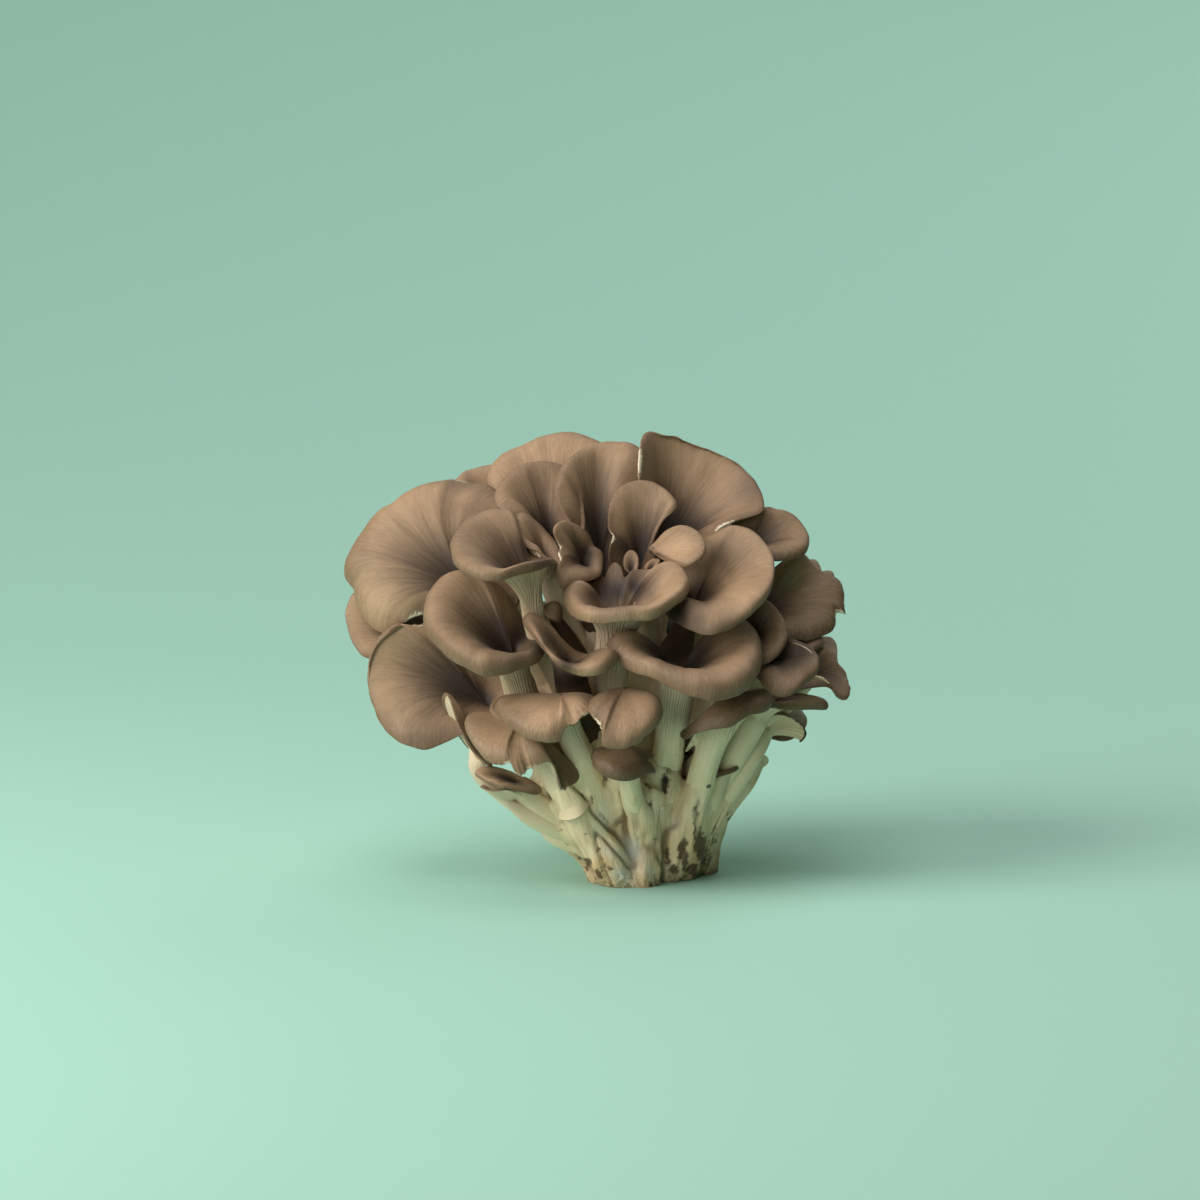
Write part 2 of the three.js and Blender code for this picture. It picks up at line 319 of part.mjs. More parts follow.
   "girth": [4.9, 6.5, 6], "roll": 9.8, "deep": 0.4, "rim": [
    [-80, 12, 132, 30], [-78, 17, 138, 40], [-72, 21, 143.3, 50], [-68, 25, 145.8, 50],
    [-62, 28, 147.2, 50],
    [-54, 29, 147.5, 50], [-46, 26, 143, 40], [-43, 20, 134, 30], [-46, 13, 122, 10],
    [-54, 9, 114, 10],
    [-66, 8, 118, 10], [-76, 9, 125, 20]]},
  {"name": "top_left_fan", "throat": [-34.8, 8.7, 112.7], "neck": [-31.7, 13, 95.5],
   "joins": [-16, 6, 78],
   "girth": [7, 6.5, 6.5], "roll": 7.7, "deep": 0.35, "flesh": 1.8, "rim": [
    [-58, 8, 139, 40], [-61.6, 11, 142, 50], [-61.5, 15, 146, 55], [-59, 19, 149.8, 55],
    [-55, 23, 152.8, 55],
    [-50, 26, 155, 55], [-44, 29, 158, 55], [-38, 31, 159.8, 55], [-31, 32, 160, 55],
    [-25, 31, 158.3, 55],
    [-19, 29, 156, 50], [-13, 25, 150, 40], [-12, 17, 138, 20], [-19, 9, 122, 10], [-30, 5, 114, 0],
    [-42, 4, 119, 10], [-52, 5, 130, 20]]},
  {"name": "upper_left_fan", "throat": [-36, -2, 110], "neck": [-31, 0, 92], "joins": [-16, 1, 78],
   "girth": [6.5, 6, 6], "roll": 14, "deep": 0.45, "rim": [
    [-55.5, -9, 132, 40], [-58, -8, 134, 50], [-59.3, -6, 137, 55], [-58, -3, 140.3, 55],
    [-54.5, 1, 143.8, 55], [-50, 4, 146.3, 55], [-45, 6, 148, 55], [-39, 7, 148.9, 50],
    [-33, 6, 148, 40],
    [-29, 3, 143, 20], [-27, -2, 132, 10], [-28, -8, 118, 0], [-33, -12, 110, 0],
    [-40, -13, 112, 10],
    [-46, -12, 119, 20], [-50, -11, 127, 30]]},
  {"name": "upper_centre_fan", "throat": [-20, 1, 106], "neck": [-17, 2, 88], "joins": [-12, 3, 80],
   "girth": [7, 6.5, 6.5], "roll": 14, "deep": 0.5, "rim": [
    [-31, -6, 127.5, 20], [-33.5, -6, 131.5, 30], [-35.5, -5, 135, 40], [-37.3, -3, 139.5, 55],
    [-37, 1, 144, 60], [-34, 5, 148.5, 60], [-30, 9, 151.3, 60], [-25, 12, 153.3, 60],
    [-19, 14, 155.6, 60],
    [-13, 14, 155.8, 60], [-7.5, 12, 155.8, 50], [-4.8, 8, 152, 20], [-4.4, 6, 144, 10],
    [-5.5, 5, 132, 0],
    [-10, 1, 117, 0], [-16, -3, 108, 0], [-22, -6, 109, 0], [-28, -7, 118, 10]]},
  {"name": "top_right_fan", "throat": [-1, 8.5, 108.5], "neck": [-5.3, 5.8, 92.9],
   "joins": [-4, 5, 78],
   "girth": [8, 7, 7], "roll": 8.1, "deep": 0.32, "rim": [
    [-6.8, -1, 140, 0], [-6.8, 4, 149, 10], [-6.2, 8, 156, 30], [-4.5, 12, 160.2, 50],
    [1, 15, 159, 55],
    [6, 16, 158.3, 55], [13, 17, 155.8, 55], [20, 17, 153, 55], [27, 16, 149.8, 55],
    [32, 14, 146, 60],
    [35.5, 10, 141.5, 65], [38, 6, 136.5, 65], [37.8, 1, 132.5, 60], [33, -2, 130.3, 50],
    [27, -5, 129, 30],
    [22, -7, 126, 20], [17, -8, 121, 10], [9, -5, 113, 0], [1, -2, 111, 0], [-5, 0, 112, 0],
    [-7.5, -1, 124, 0]]},
  {"name": "small_knob", "bands": [0.6, 1], "throat": [-38.2, -24.7, 96.5],
   "neck": [-35.5, -13.9, 88.3], "joins": [-18, -6, 66],
   "girth": [2.2, 3.2, 4], "roll": 3, "deep": 0.3, "open": 90, "flesh": 0.8, "rim": [
    [-41.5, -25, 96.5, 90], [-40.3, -22, 98.5, 90], [-37, -20, 99.2, 90], [-34.8, -20, 97.5, 90],
    [-34.4, -22, 94, 90], [-35.5, -26, 91.8, 90], [-38.5, -27.5, 92.6, 90], [-41, -27, 94.5, 90]]},
  {"name": "folded_strip", "throat": [-39, -14, 108], "neck": [-34, -11, 92],
   "joins": [-20, -4, 70],
   "girth": [4.5, 4.5, 5], "roll": 7, "deep": 0.4, "rim": [
    [-51.6, -15, 130, 20], [-51.4, -17, 127, 40], [-50.5, -19, 121.5, 50], [-47, -20.5, 119, 60],
    [-43, -21.5, 117.5, 60], [-41, -22, 115, 60], [-38, -22.5, 113.6, 50], [-35, -19, 114, 30],
    [-36.5, -12, 119.5, 20], [-40.5, -8, 125, 20], [-45, -8, 129.4, 20], [-49, -11, 131.2, 20]]},
  // the back of the cluster
  {"name": "back_left_upper", "bands": [0.6, 1], "flesh": 2, "throat": [-50, 24, 100],
   "neck": [-41, 17, 82], "joins": [-24, 12, 60],
   "girth": [6.5, 6, 6], "roll": 12, "deep": 0.45, "dish": [-64, 41, 115], "across": [26, 26],
   "facing": [0.3, -0.25, 0.92], "waves": [3, 3.5, 0.4]},
  {"name": "back_left_lower", "bands": [0.6, 1], "flesh": 2, "throat": [-55, 26, 74],
   "neck": [-44, 20, 58], "joins": [-24, 14, 52],
   "girth": [6.5, 6, 6], "roll": 13, "deep": 0.45, "dish": [-71, 34, 86], "across": [28, 27],
   "facing": [0.25, -0.2, 0.95], "waves": [4, 3, 1.1]},
  {"name": "back_left_low", "bands": [0.6, 1], "flesh": 2, "throat": [-46, 26, 51],
   "neck": [-36, 20, 37], "joins": [-18, 10, 30],
   "girth": [4.2, 5, 5.5], "roll": 10, "deep": 0.4, "dish": [-58, 33, 57], "across": [21, 20],
   "facing": [0.1, -0.1, 0.99], "waves": [3, 3, 2.2]},
  {"name": "back_crown_left", "bands": [0.6, 1], "throat": [-32, 34, 111], "neck": [-28, 24, 94],
   "joins": [-12, 20, 70],
   "girth": [6.5, 6, 6], "roll": 12, "deep": 0.45, "dish": [-37, 48, 130], "across": [24, 25],
   "facing": [0.1, -0.35, 0.93], "waves": [3, 3.5, 3.0]},
  {"name": "back_crown", "bands": [0.6, 1], "throat": [-7, 36, 112], "neck": [-6, 25, 94],
   "joins": [-6, 22, 72],
   "girth": [7, 6.5, 6.5], "roll": 14, "deep": 0.45, "dish": [-6, 51, 130], "across": [26, 26],
   "facing": [0, -0.35, 0.94], "waves": [4, 3, 4.0]},
  {"name": "back_crown_right", "bands": [0.6, 1], "flesh": 4, "throat": [19, 29, 105],
   "neck": [15, 20, 88], "joins": [4, 16, 66],
   "girth": [6.5, 6, 6], "roll": 12, "deep": 0.45, "dish": [24, 43, 120], "across": [24, 23],
   "facing": [-0.15, -0.3, 0.94], "waves": [3, 3, 5.2]},
  {"name": "back_right_upper", "bands": [0.6, 1], "flesh": 4, "throat": [32, 20, 90],
   "neck": [24, 13, 74], "joins": [16, 10, 58],
   "girth": [6.5, 6, 6], "roll": 12, "deep": 0.45, "dish": [41, 31, 101], "across": [22, 23],
   "facing": [-0.3, -0.2, 0.93], "waves": [4, 3, 0.9]},
  {"name": "back_right_mid", "bands": [0.6, 1], "flesh": 1.6, "throat": [33.8, 15.8, 70.2],
   "neck": [25.8, 11.5, 55.6], "joins": [16, 11, 46],
   "girth": [2.5, 6, 6], "roll": 3.6, "deep": 0.4, "dish": [42, 28, 78], "across": [22, 22],
   "facing": [-0.2, -0.2, 0.96], "waves": [3, 3, 2.6]},
  {"name": "back_right_low", "bands": [0.6, 1], "flesh": 4, "throat": [27, 16, 47],
   "neck": [20, 12, 34], "joins": [13, 8, 26],
   "girth": [6, 5.5, 5.5], "roll": 10, "deep": 0.4, "dish": [34, 25, 53], "across": [19, 19],
   "facing": [-0.1, -0.15, 0.98], "waves": [3, 2.6, 3.6]},
  {"name": "back_middle_left", "bands": [0.6, 1], "throat": [-30, 38, 83], "neck": [-25, 28, 66],
   "joins": [-14, 20, 60],
   "girth": [6.5, 6, 6], "roll": 13, "deep": 0.45, "dish": [-35, 54, 92], "across": [26, 25],
   "facing": [0.1, -0.3, 0.95], "waves": [4, 3, 5.0]},
  {"name": "back_middle", "bands": [0.6, 1], "throat": [2, 39, 85], "neck": [1, 28, 68],
   "joins": [-2, 22, 56],
   "girth": [5.5, 6.5, 6.5], "roll": 10, "deep": 0.45, "dish": [4, 55, 94], "across": [26, 26],
   "facing": [0, -0.3, 0.95], "waves": [3, 3.5, 1.8]},
  {"name": "back_low_left", "bands": [0.6, 1], "throat": [-19, 33, 53], "neck": [-16, 23, 39],
   "joins": [-10, 16, 34],
   "girth": [6, 5.5, 6], "roll": 11, "deep": 0.4, "dish": [-24, 46, 58], "across": [22, 22],
   "facing": [0, -0.15, 0.99], "waves": [3, 3, 0.2]},
  {"name": "back_low_right", "bands": [0.6, 1], "throat": [11, 33, 54], "neck": [8, 23, 40],
   "joins": [4, 16, 34],
   "girth": [4.6, 5.5, 6], "roll": 8, "deep": 0.4, "dish": [16, 45, 59], "across": [22, 21],
   "facing": [-0.05, -0.15, 0.98], "waves": [4, 2.6, 3.1]},
];

// The fused base: oval sections up its core, then the limbs that the stems branch from.
const CORE = [
  {"at": [-5, 10, -8], "rx": 12, "ry": 23, "turn": -38},
  {"at": [-5, 9, 2], "rx": 12.5, "ry": 23, "turn": -36},
  {"at": [-5, 6, 12], "rx": 16.5, "ry": 22, "turn": -24},
  {"at": [-4, 4, 22], "rx": 22, "ry": 21, "turn": 0},
  {"at": [-4, 6, 32], "rx": 22, "ry": 19, "turn": 0},
  {"at": [-4, 8, 42], "rx": 20, "ry": 17, "turn": 0},
  {"at": [-4, 7, 54], "rx": 17, "ry": 16, "turn": 0},
  {"at": [-8, 3, 84], "rx": 12, "ry": 12, "turn": 0},
];
const LIMBS = [
  {"from": [-11, -11, -8], "to": [-17, -18, 22], "girth": [7.5, 6]},
  {"from": [-11, -2, -8], "to": [-24, -14, 14], "girth": [8, 6]},
  {"from": [-7, -11, -8], "to": [-3, -17, 33], "girth": [7.5, 6.5]},
  {"from": [1, 3, -8], "to": [7, -12, 20], "girth": [7.5, 6.5]},
  {"from": [11, 17, -8], "to": [19, 2, 24], "girth": [7, 7]},
  {"from": [-8, -8, 0], "to": [-10, -17, 36], "girth": [7, 6.5]},
  {"from": [-14, 22, -8], "to": [-17, 20, 34], "girth": [9.5, 10]},
  {"from": [-14, -8, 2], "to": [-38, -24, 30], "girth": [8, 5.5]},
  {"from": [-14, -4, 4], "to": [-45, -19, 25], "girth": [8, 5]},
  {"from": [-12, -2, 14], "to": [-44, -21, 36], "girth": [9, 6.5]},
  {"from": [8, 4, 10], "to": [28, -3, 31], "girth": [8, 4.5]},
  {"from": [4, 14, 30], "to": [23, 21, 68], "girth": [15, 13]},
  {"from": [-12, 0, 38], "to": [-38, -4, 68], "girth": [12, 6.5]},
  {"from": [8, 2, 38], "to": [20, 0, 66], "girth": [13, 9]},
  {"from": [-4, 12, 36], "to": [-5, 24, 76], "girth": [14, 11]},
  {"from": [-8, 6, 32], "to": [-29, 16, 60], "girth": [12, 8]},
  {"from": [8, 6, 32], "to": [19, 12, 56], "girth": [12, 8]},
];

const rad = (degrees) => degrees * Math.PI / 180;
const mix = (a, b, t) => a + (b - a) * t;

// A layout point (across, depth, height) in the object's own frame.
function place([across, depth, height]) {
  const wider = 1 + depth / SIGHT_DISTANCE;
  const x = SIGHT_X + (across - SIGHT_X) * wider;
  const up = SIGHT_Z + (height - SIGHT_Z) * wider;
  return new THREE.Vector3(
    x,
    depth * Math.cos(rad(LEAN)) + up * Math.sin(rad(LEAN)),
    -depth * Math.sin(rad(LEAN)) + up * Math.cos(rad(LEAN)),
  );
}

function cubic(p0, p1, p2, p3, t) {
  const s = 1 - t;
  return s * s * s * p0 + 3 * s * s * t * p1 + 3 * s * t * t * p2 + t * t * t * p3;
}

// Rings of points, foot first and each going the same way round, closed into one body.
class RingBody {
  constructor() {
    this.points = [];
    this.faces = [];
    this.last = null;
  }

  ring(points, closing = false) {
    const start = this.points.length;
    this.points.push(...points);
    const ids = points.map((point, i) => start + i);
    if (this.last) this.stitch(this.last, ids, closing);
    this.last = ids;
  }

  // Joins two rings that may have different numbers of points. closing mirrors the
  // pattern, so that the top of a cap is divided just as its underside is.
  stitch(a, b, closing) {
    let i = 0;
    let j = 0;
    while (i < a.length || j < b.length) {
      const nextA = (i + 1) / a.length;
      const nextB = (j + 1) / b.length;
      const first = closing ? nextA <= nextB : nextA < nextB;
      const takeA = j >= b.length || (i < a.length && first);
      const p = a[i % a.length];
      const q = b[j % b.length];
      if (takeA) this.face(p, a[(i + 1) % a.length], q);
      else this.face(p, b[(j + 1) % b.length], q);
      if (takeA) i += 1;
      else j += 1;
    }
  }

  face(p, q, r) {
    if (p !== q && q !== r && r !== p) this.faces.push(p, q, r);
  }

  geometry() {
    const geometry = new THREE.BufferGeometry();
    const numbers = this.points.flatMap((p) => p.toArray());
    geometry.setAttribute("position", new THREE.Float32BufferAttribute(numbers, 3));
    geometry.setIndex(this.faces);
    return geometry;
  }
}

// The rim of a simple dish: an oval round its middle, a little wavy and rolled down.
function wavyRim({throat, dish, across, facing, waves}) {
  const normal = new THREE.Vector3(...facing).normalize();
  const out = new THREE.Vector3(...dish).sub(new THREE.Vector3(...throat));
  out.addScaledVector(normal, -out.dot(normal)).normalize();
  const along = new THREE.Vector3().crossVectors(normal, out);
  const [count, height, start] = waves;
  return Array.from({length: DISH_POINTS}, (_, i) => {
    const angle = i / DISH_POINTS * 2 * Math.PI;
    const wave = Math.sin(count * angle + start);
    const wide = 1 + 0.1 * Math.sin((count + 1) * angle + 2 * start) + 0.06 * wave;
    const point = new THREE.Vector3(...dish)
      .addScaledVector(out, across[0] * wide * Math.cos(angle))
      .addScaledVector(along, across[1] * wide * Math.sin(angle))
      .addScaledVector(normal, height * wave);
    return [...point.toArray(), 65 + 25 * Math.cos(angle) - 12 * wave];
  });
}

// The rim as seen along the throat's axis: angle, distance out and height for each point.
function rimOf(frond) {
  const throat = place(frond.throat);
  const axis = throat.clone().sub(place(frond.neck)).normalize();
  const side = new THREE.Vector3(1, 0, 0).addScaledVector(axis, -axis.x).normalize();
  const back = new THREE.Vector3().crossVectors(axis, side);
  const spokes = (frond.rim ?? wavyRim(frond)).map((point) => {
    const d = place(point).sub(throat);
    const height = d.dot(axis);
    return {x: d.dot(side), y: d.dot(back), height, curl: point[3] ?? 60};
  });
  return {throat, axis, side, back, spokes, spin: spinOf(spokes)};
}

// The rim between its points, at a fraction of the way round.
function spokeAt(spokes, fraction) {
  const n = spokes.length;
  const at = (fraction + 1) % 1 * n;
  const i = Math.floor(at) % n;
  const t = at - Math.floor(at);
  const a = spokes[i];
  const b = spokes[(i + 1) % n];
  return {
    x: mix(a.x, b.x, t), y: mix(a.y, b.y, t),
    height: mix(a.height, b.height, t), curl: mix(a.curl, b.curl, t),
  };
}

// Distance out and height above the throat at v, from 0 in the throat to 1 on the rim.
function topProfile(frond, spoke, v) {
  const out = Math.hypot(spoke.x, spoke.y);
  const open = rad(frond.open ?? 0);
  const dip = frond.deep * Math.max(out, 0.6 * Math.abs(spoke.height));
  const curl = rad(spoke.curl);
  const most = 0.75 * out / Math.max(Math.cos(curl), 0.05);
  const roll = Math.min(frond.roll, 0.5 * Math.hypot(out, spoke.height), most);
  const p1 = [dip * Math.sin(open), dip * Math.cos(open)];
  const p2 = [out - roll * Math.cos(curl), spoke.height + roll * Math.sin(curl)];
  return [cubic(0, p1[0], p2[0], out, v), cubic(0, p1[1], p2[1], spoke.height, v)];
}

// A point of the top surface, at a fraction of the way round and v from throat to rim.
function topPoint(frond, form, fraction, v) {
  const spoke = spokeAt(form.spokes, fraction);
  const [out, height] = topProfile(frond, spoke, v);
  const reach = Math.hypot(spoke.x, spoke.y) || 1;
  return form.throat.clone()
    .addScaledVector(form.side, spoke.x / reach * out)
    .addScaledVector(form.back, spoke.y / reach * out)
    .addScaledVector(form.axis, height);
}

// The two faces of a cap's flesh at one place: the top, and the gilled side square below
// it. before and after are the neighbouring rings, step the way round to the next point,
// and spare is added all round.
function fleshAt(frond, form, fraction, {v, before, after, step}, spare) {
  const spoke = spokeAt(form.spokes, fraction);
  const reach = Math.hypot(spoke.x, spoke.y) || 1;
  const outward = form.side.clone().multiplyScalar(spoke.x / reach);
  outward.addScaledVector(form.back, spoke.y / reach);
  const topAt = (f, u) => topPoint(frond, form, f, u);
  const along = topAt(fraction + step, v).sub(topAt(fraction - step, v));
  const away = topAt(fraction, after).sub(topAt(fraction, before)).normalize();
  const square = new THREE.Vector3().crossVectors(along, away).normalize();
  square.multiplyScalar(form.spin);
  const way = v === 0 ? outward : outward.multiplyScalar(0.5 * (1 - v)).add(square).normalize();
  const flesh = frond.flesh ?? CAP_FLESH;
  const edge = Math.min(RIM_THICKNESS, 0.8 * flesh);
  const neck = Math.min(frond.girth[0], Math.max(0.85 * reach, 0.8));
  const thick = edge + (flesh - edge) * (1 - v) ** 0.6 + (neck - flesh) * (1 - v) ** 3;
  const top = topAt(fraction, v);
  if (v === 1) top.addScaledVector(away, spare);
  const gill = top.clone().addScaledVector(way, thick + spare);
  if (v === 0) {
    // The stem ends lower under an open throat, and below an edge that lies close to it.
    const close = Math.min(Math.max(2.2 - reach / frond.girth[0], 0), 1);
    const open = Math.sin(rad(frond.open ?? 0));
    gill.addScaledVector(form.axis, -Math.max(neck * open, close * (0.8 * neck - spoke.height)));
  }
  if (v > 0) top.addScaledVector(way, -spare);
  return {top, gill};
}

// A whole frond as rings: up the stem, out along the gills to the rim, back into the throat.
function frondSolid(frond, spare = 0) {
  const form = rimOf(frond);
  const {throat, axis, side, back, spokes, spin} = form;
  const body = new RingBody();
  const around = (n, make) => Array.from({length: n}, (_, i) => make(i / n));
  const first = Math.atan2(spokes[0].y, spokes[0].x);
  const stem = stemOf(frond);
  const foot = stem.getPoint(0).addScaledVector(stem.getTangent(0), -spare);
  const sections = frond.joins
    ? [[0, 1, frond.girth[1]]]
    : [[0, 1, frond.girth[2]], [0.5, 0.6, frond.girth[1]]];
  body.ring([foot]);
  for (const [u, evenness, girth] of sections) {
    const centre = u === 0 ? foot : stem.getPoint(u);
    const turn = new THREE.Quaternion().setFromUnitVectors(axis, stem.getTangent(u));
    body.ring(around(STEM_SIDES, (fraction) => {
      const spoke = spokeAt(spokes, fraction);
      const even = first + spin * fraction * 2 * Math.PI;
      let own = Math.atan2(spoke.y, spoke.x);
      while (own - even > Math.PI) own -= 2 * Math.PI;
      while (own - even < -Math.PI) own += 2 * Math.PI;
      const angle = mix(own, even, evenness);
      const out = side.clone().multiplyScalar(Math.cos(angle)).addScaledVector(back, Math.sin(angle));
      return centre.clone().addScaledVector(out.applyQuaternion(turn), girth + spare);
    }));
  }
  const bands = frond.bands ?? BANDS;
  const collar = {v: 0, before: 0, after: bands[0], step: 1 / spokes.length};
  body.ring(around(STEM_SIDES, (fraction) => fleshAt(frond, form, fraction, collar, spare).gill));
  const rows = bands.map((v, k) => {
    const n = k === 0 ? Math.ceil(spokes.length * INNER_SHARE) : spokes.length;
    const spot = {v, before: bands[k - 1] ?? 0, after: bands[k + 1] ?? 1, step: 1 / n};
    return around(n, (fraction) => fleshAt(frond, form, fraction, spot, spare));
  });
  for (const row of rows) body.ring(row.map(({gill}) => gill));
  for (const row of rows.reverse()) body.ring(row.map(({top}) => top), true);
  body.ring([throat.clone().addScaledVector(axis, spare)], true);
  return solid(body.geometry());
}

// A stem's middle line, foot first: long ones bend to the base, short ones sit on a limb.
function stemOf(frond) {
  const throat = place(frond.throat);
  const neck = place(frond.neck);
  if (frond.joins) {
    const foot = throat.clone().lerp(neck, SHORT_STEM);
    return new THREE.QuadraticBezierCurve3(foot, throat.clone().lerp(foot, 0.5), throat);
  }
  return new THREE.QuadraticBezierCurve3(place(frond.foot), neck, throat);
}

// +1 when the rim goes anticlockwise seen from above the throat, else -1.
function spinOf(spokes) {
  let area = 0;
  spokes.forEach((a, i) => {
    const b = spokes[(i + 1) % spokes.length];
    area += a.x * b.y - a.y * b.x;
  });
  return Math.sign(area);
}

function solid(geometry) {
  const bare = geometry.clone().deleteAttribute("normal").deleteAttribute("uv");
  const merged = mergeVertices(bare, 1e-4);
  const mesh = new wasm.Mesh({
    numProp: 3,
    vertProperties: new Float32Array(merged.getAttribute("position").array),
    triVerts: new Uint32Array(merged.getIndex().array),
  });
  const made = new wasm.Manifold(mesh);
  if (made.volume() >= 0) return made;
  const turned = new Uint32Array(merged.getIndex().array);
  for (let i = 0; i < turned.length; i += 3) {
    [turned[i], turned[i + 1]] = [turned[i + 1], turned[i]];
  }
  const {vertProperties} = mesh;
  return new wasm.Manifold(new wasm.Mesh({numProp: 3, vertProperties, triVerts: turned}));
}

function toGeometry(body) {
  const mesh = body.getMesh();
  const geometry = new THREE.BufferGeometry();
  const numbers = new Float32Array(mesh.vertProperties);
  geometry.setAttribute("position", new THREE.BufferAttribute(numbers, 3));
  geometry.setIndex(new THREE.BufferAttribute(new Uint32Array(mesh.triVerts), 1));
  geometry.computeVertexNormals();
  return geometry;
}

function largest(body) {
  return body.decompose().reduce((a, b) => (a.volume() > b.volume() ? a : b));
}

// The core and the limbs of the base, as separate solids that overlap each other.
function baseParts(spare = 0) {
  const core = new RingBody();
  const oval = ({at, rx, ry, turn}) => Array.from({length: BASE_SIDES}, (_, i) => {
    const angle = i / BASE_SIDES * 2 * Math.PI;
    const x = (rx + spare) * Math.cos(angle);
    const y = (ry + spare) * Math.sin(angle);
    const c = Math.cos(rad(turn));
    const s = Math.sin(rad(turn));
    return place([at[0] + x * c - y * s, at[1] + x * s + y * c, at[2]]);
  });
  core.ring([place(CORE[0].at)]);
  CORE.forEach((section) => core.ring(oval(section)));
  core.ring([place(CORE[CORE.length - 1].at).add(new THREE.Vector3(0, 0, 1 + spare))]);
  const branches = FRONDS.filter((frond) => frond.joins).map((frond) => ({
    from: frond.joins,
    to: frond.throat.map((value, i) => mix(value, frond.neck[i], SHORT_STEM - 0.12)),
    girth: [frond.girth[2], 0.9 * frond.girth[1]],
  }));
  const limbs = [...LIMBS, ...branches].map(({from, to, girth}) => {
    const tube = new RingBody();
    const start = place(from);
    const end = place(to);
    const turn = new THREE.Quaternion().setFromUnitVectors(
      new THREE.Vector3(0, 0, 1), end.clone().sub(start).normalize());
    tube.ring([start]);
    for (const [centre, radius] of [[start, girth[0]], [end, girth[1]]]) {
      tube.ring(Array.from({length: LIMB_SIDES}, (_, i) => {
        const angle = i / LIMB_SIDES * 2 * Math.PI;
        const out = new THREE.Vector3(Math.cos(angle), Math.sin(angle), 0).applyQuaternion(turn);
        return centre.clone().addScaledVector(out, radius + spare);
      }));
    }
    tube.ring([end.addScaledVector(end.clone().sub(start).normalize(), 0.5 + 2 * spare)]);
    return tube;
  });
  return [core, ...limbs].map((body) => solid(body.geometry()));
}

const cluster = new THREE.Group();

function addPiece(name, body, colour) {
  const material = new THREE.MeshStandardMaterial({color: colour, roughness: 0.7, metalness: 0});
  const mesh = new THREE.Mesh(toGeometry(body), material);
  mesh.name = name;
  cluster.add(mesh);
}

// The base is cut level at the floor and again where it branches, and the branching part
// is halved, so that each solid is a simple one.
const below = solid(new THREE.BoxGeometry(400, 400, 100).translate(0, 0, -50));
const standing = wasm.Manifold.union(baseParts()).subtract(below);
const foot = standing.trimByPlane([0, 0, -1], 0.5 * GAP - BRANCH_HEIGHT);
const branches = standing.trimByPlane([0, 0, 1], BRANCH_HEIGHT + 0.5 * GAP);
const leftHalf = branches.trimByPlane([-1, 0, 0], 0.5 * GAP - BRANCH_MIDDLE);
const rightHalf = branches.trimByPlane([1, 0, 0], BRANCH_MIDDLE + 0.5 * GAP);
addPiece("base", largest(foot), BASE_COLOUR);
addPiece("base_left_branches", largest(leftHalf), BASE_COLOUR);
addPiece("base_right_branches", largest(rightHalf), BASE_COLOUR);

let taken = wasm.Manifold.union(baseParts(GAP));
for (const frond of FRONDS) {
  addPiece(frond.name, largest(frondSolid(frond).subtract(taken)), frond.colour ?? CAP_COLOUR);
  taken = taken.add(frondSolid(frond, GAP));
}

export default cluster;
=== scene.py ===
"""An oyster mushroom cluster: leaning fans and funnels on one fused base.

The caps follow the same rims, throats and stems as the solids that they stand for, on a
much finer grid, with gills, fibres and torn edges added. Layout points are (across, depth,
height) in millimetres; Blender's own units are metres.
"""
import math

import bpy
import numpy as np
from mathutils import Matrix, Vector


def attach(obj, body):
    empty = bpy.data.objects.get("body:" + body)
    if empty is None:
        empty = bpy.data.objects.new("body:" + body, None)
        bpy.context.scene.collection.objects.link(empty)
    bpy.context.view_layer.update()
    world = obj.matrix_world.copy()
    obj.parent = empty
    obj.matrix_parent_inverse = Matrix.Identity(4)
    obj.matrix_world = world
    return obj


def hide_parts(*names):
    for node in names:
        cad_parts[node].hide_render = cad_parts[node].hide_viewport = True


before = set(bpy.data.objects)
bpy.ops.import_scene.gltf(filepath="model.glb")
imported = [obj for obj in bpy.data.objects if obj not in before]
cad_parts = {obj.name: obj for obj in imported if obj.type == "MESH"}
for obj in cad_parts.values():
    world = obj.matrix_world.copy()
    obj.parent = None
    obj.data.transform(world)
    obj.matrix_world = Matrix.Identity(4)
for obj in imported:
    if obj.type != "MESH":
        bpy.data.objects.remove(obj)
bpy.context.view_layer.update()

MM = 0.001
LEAN = math.radians(8)      # the whole head leans back by this much
SIGHT_X = -21               # the layout is drawn square on from in front:
SIGHT_Z = 100               #   the eye is level with this point of the cluster
SIGHT_DISTANCE = 2500       #   and this far from it


def entry(name, throat, neck, girth, roll, deep, rim=None, **more):
    """A frond's settings. The rim's numbers go four by four."""
    row = dict(name=name, throat=throat, neck=neck, girth=girth, roll=roll, deep=deep, **more)
    if rim:
        row["rim"] = [rim[k:k + 4] for k in range(0, len(rim), 4)]
    return row


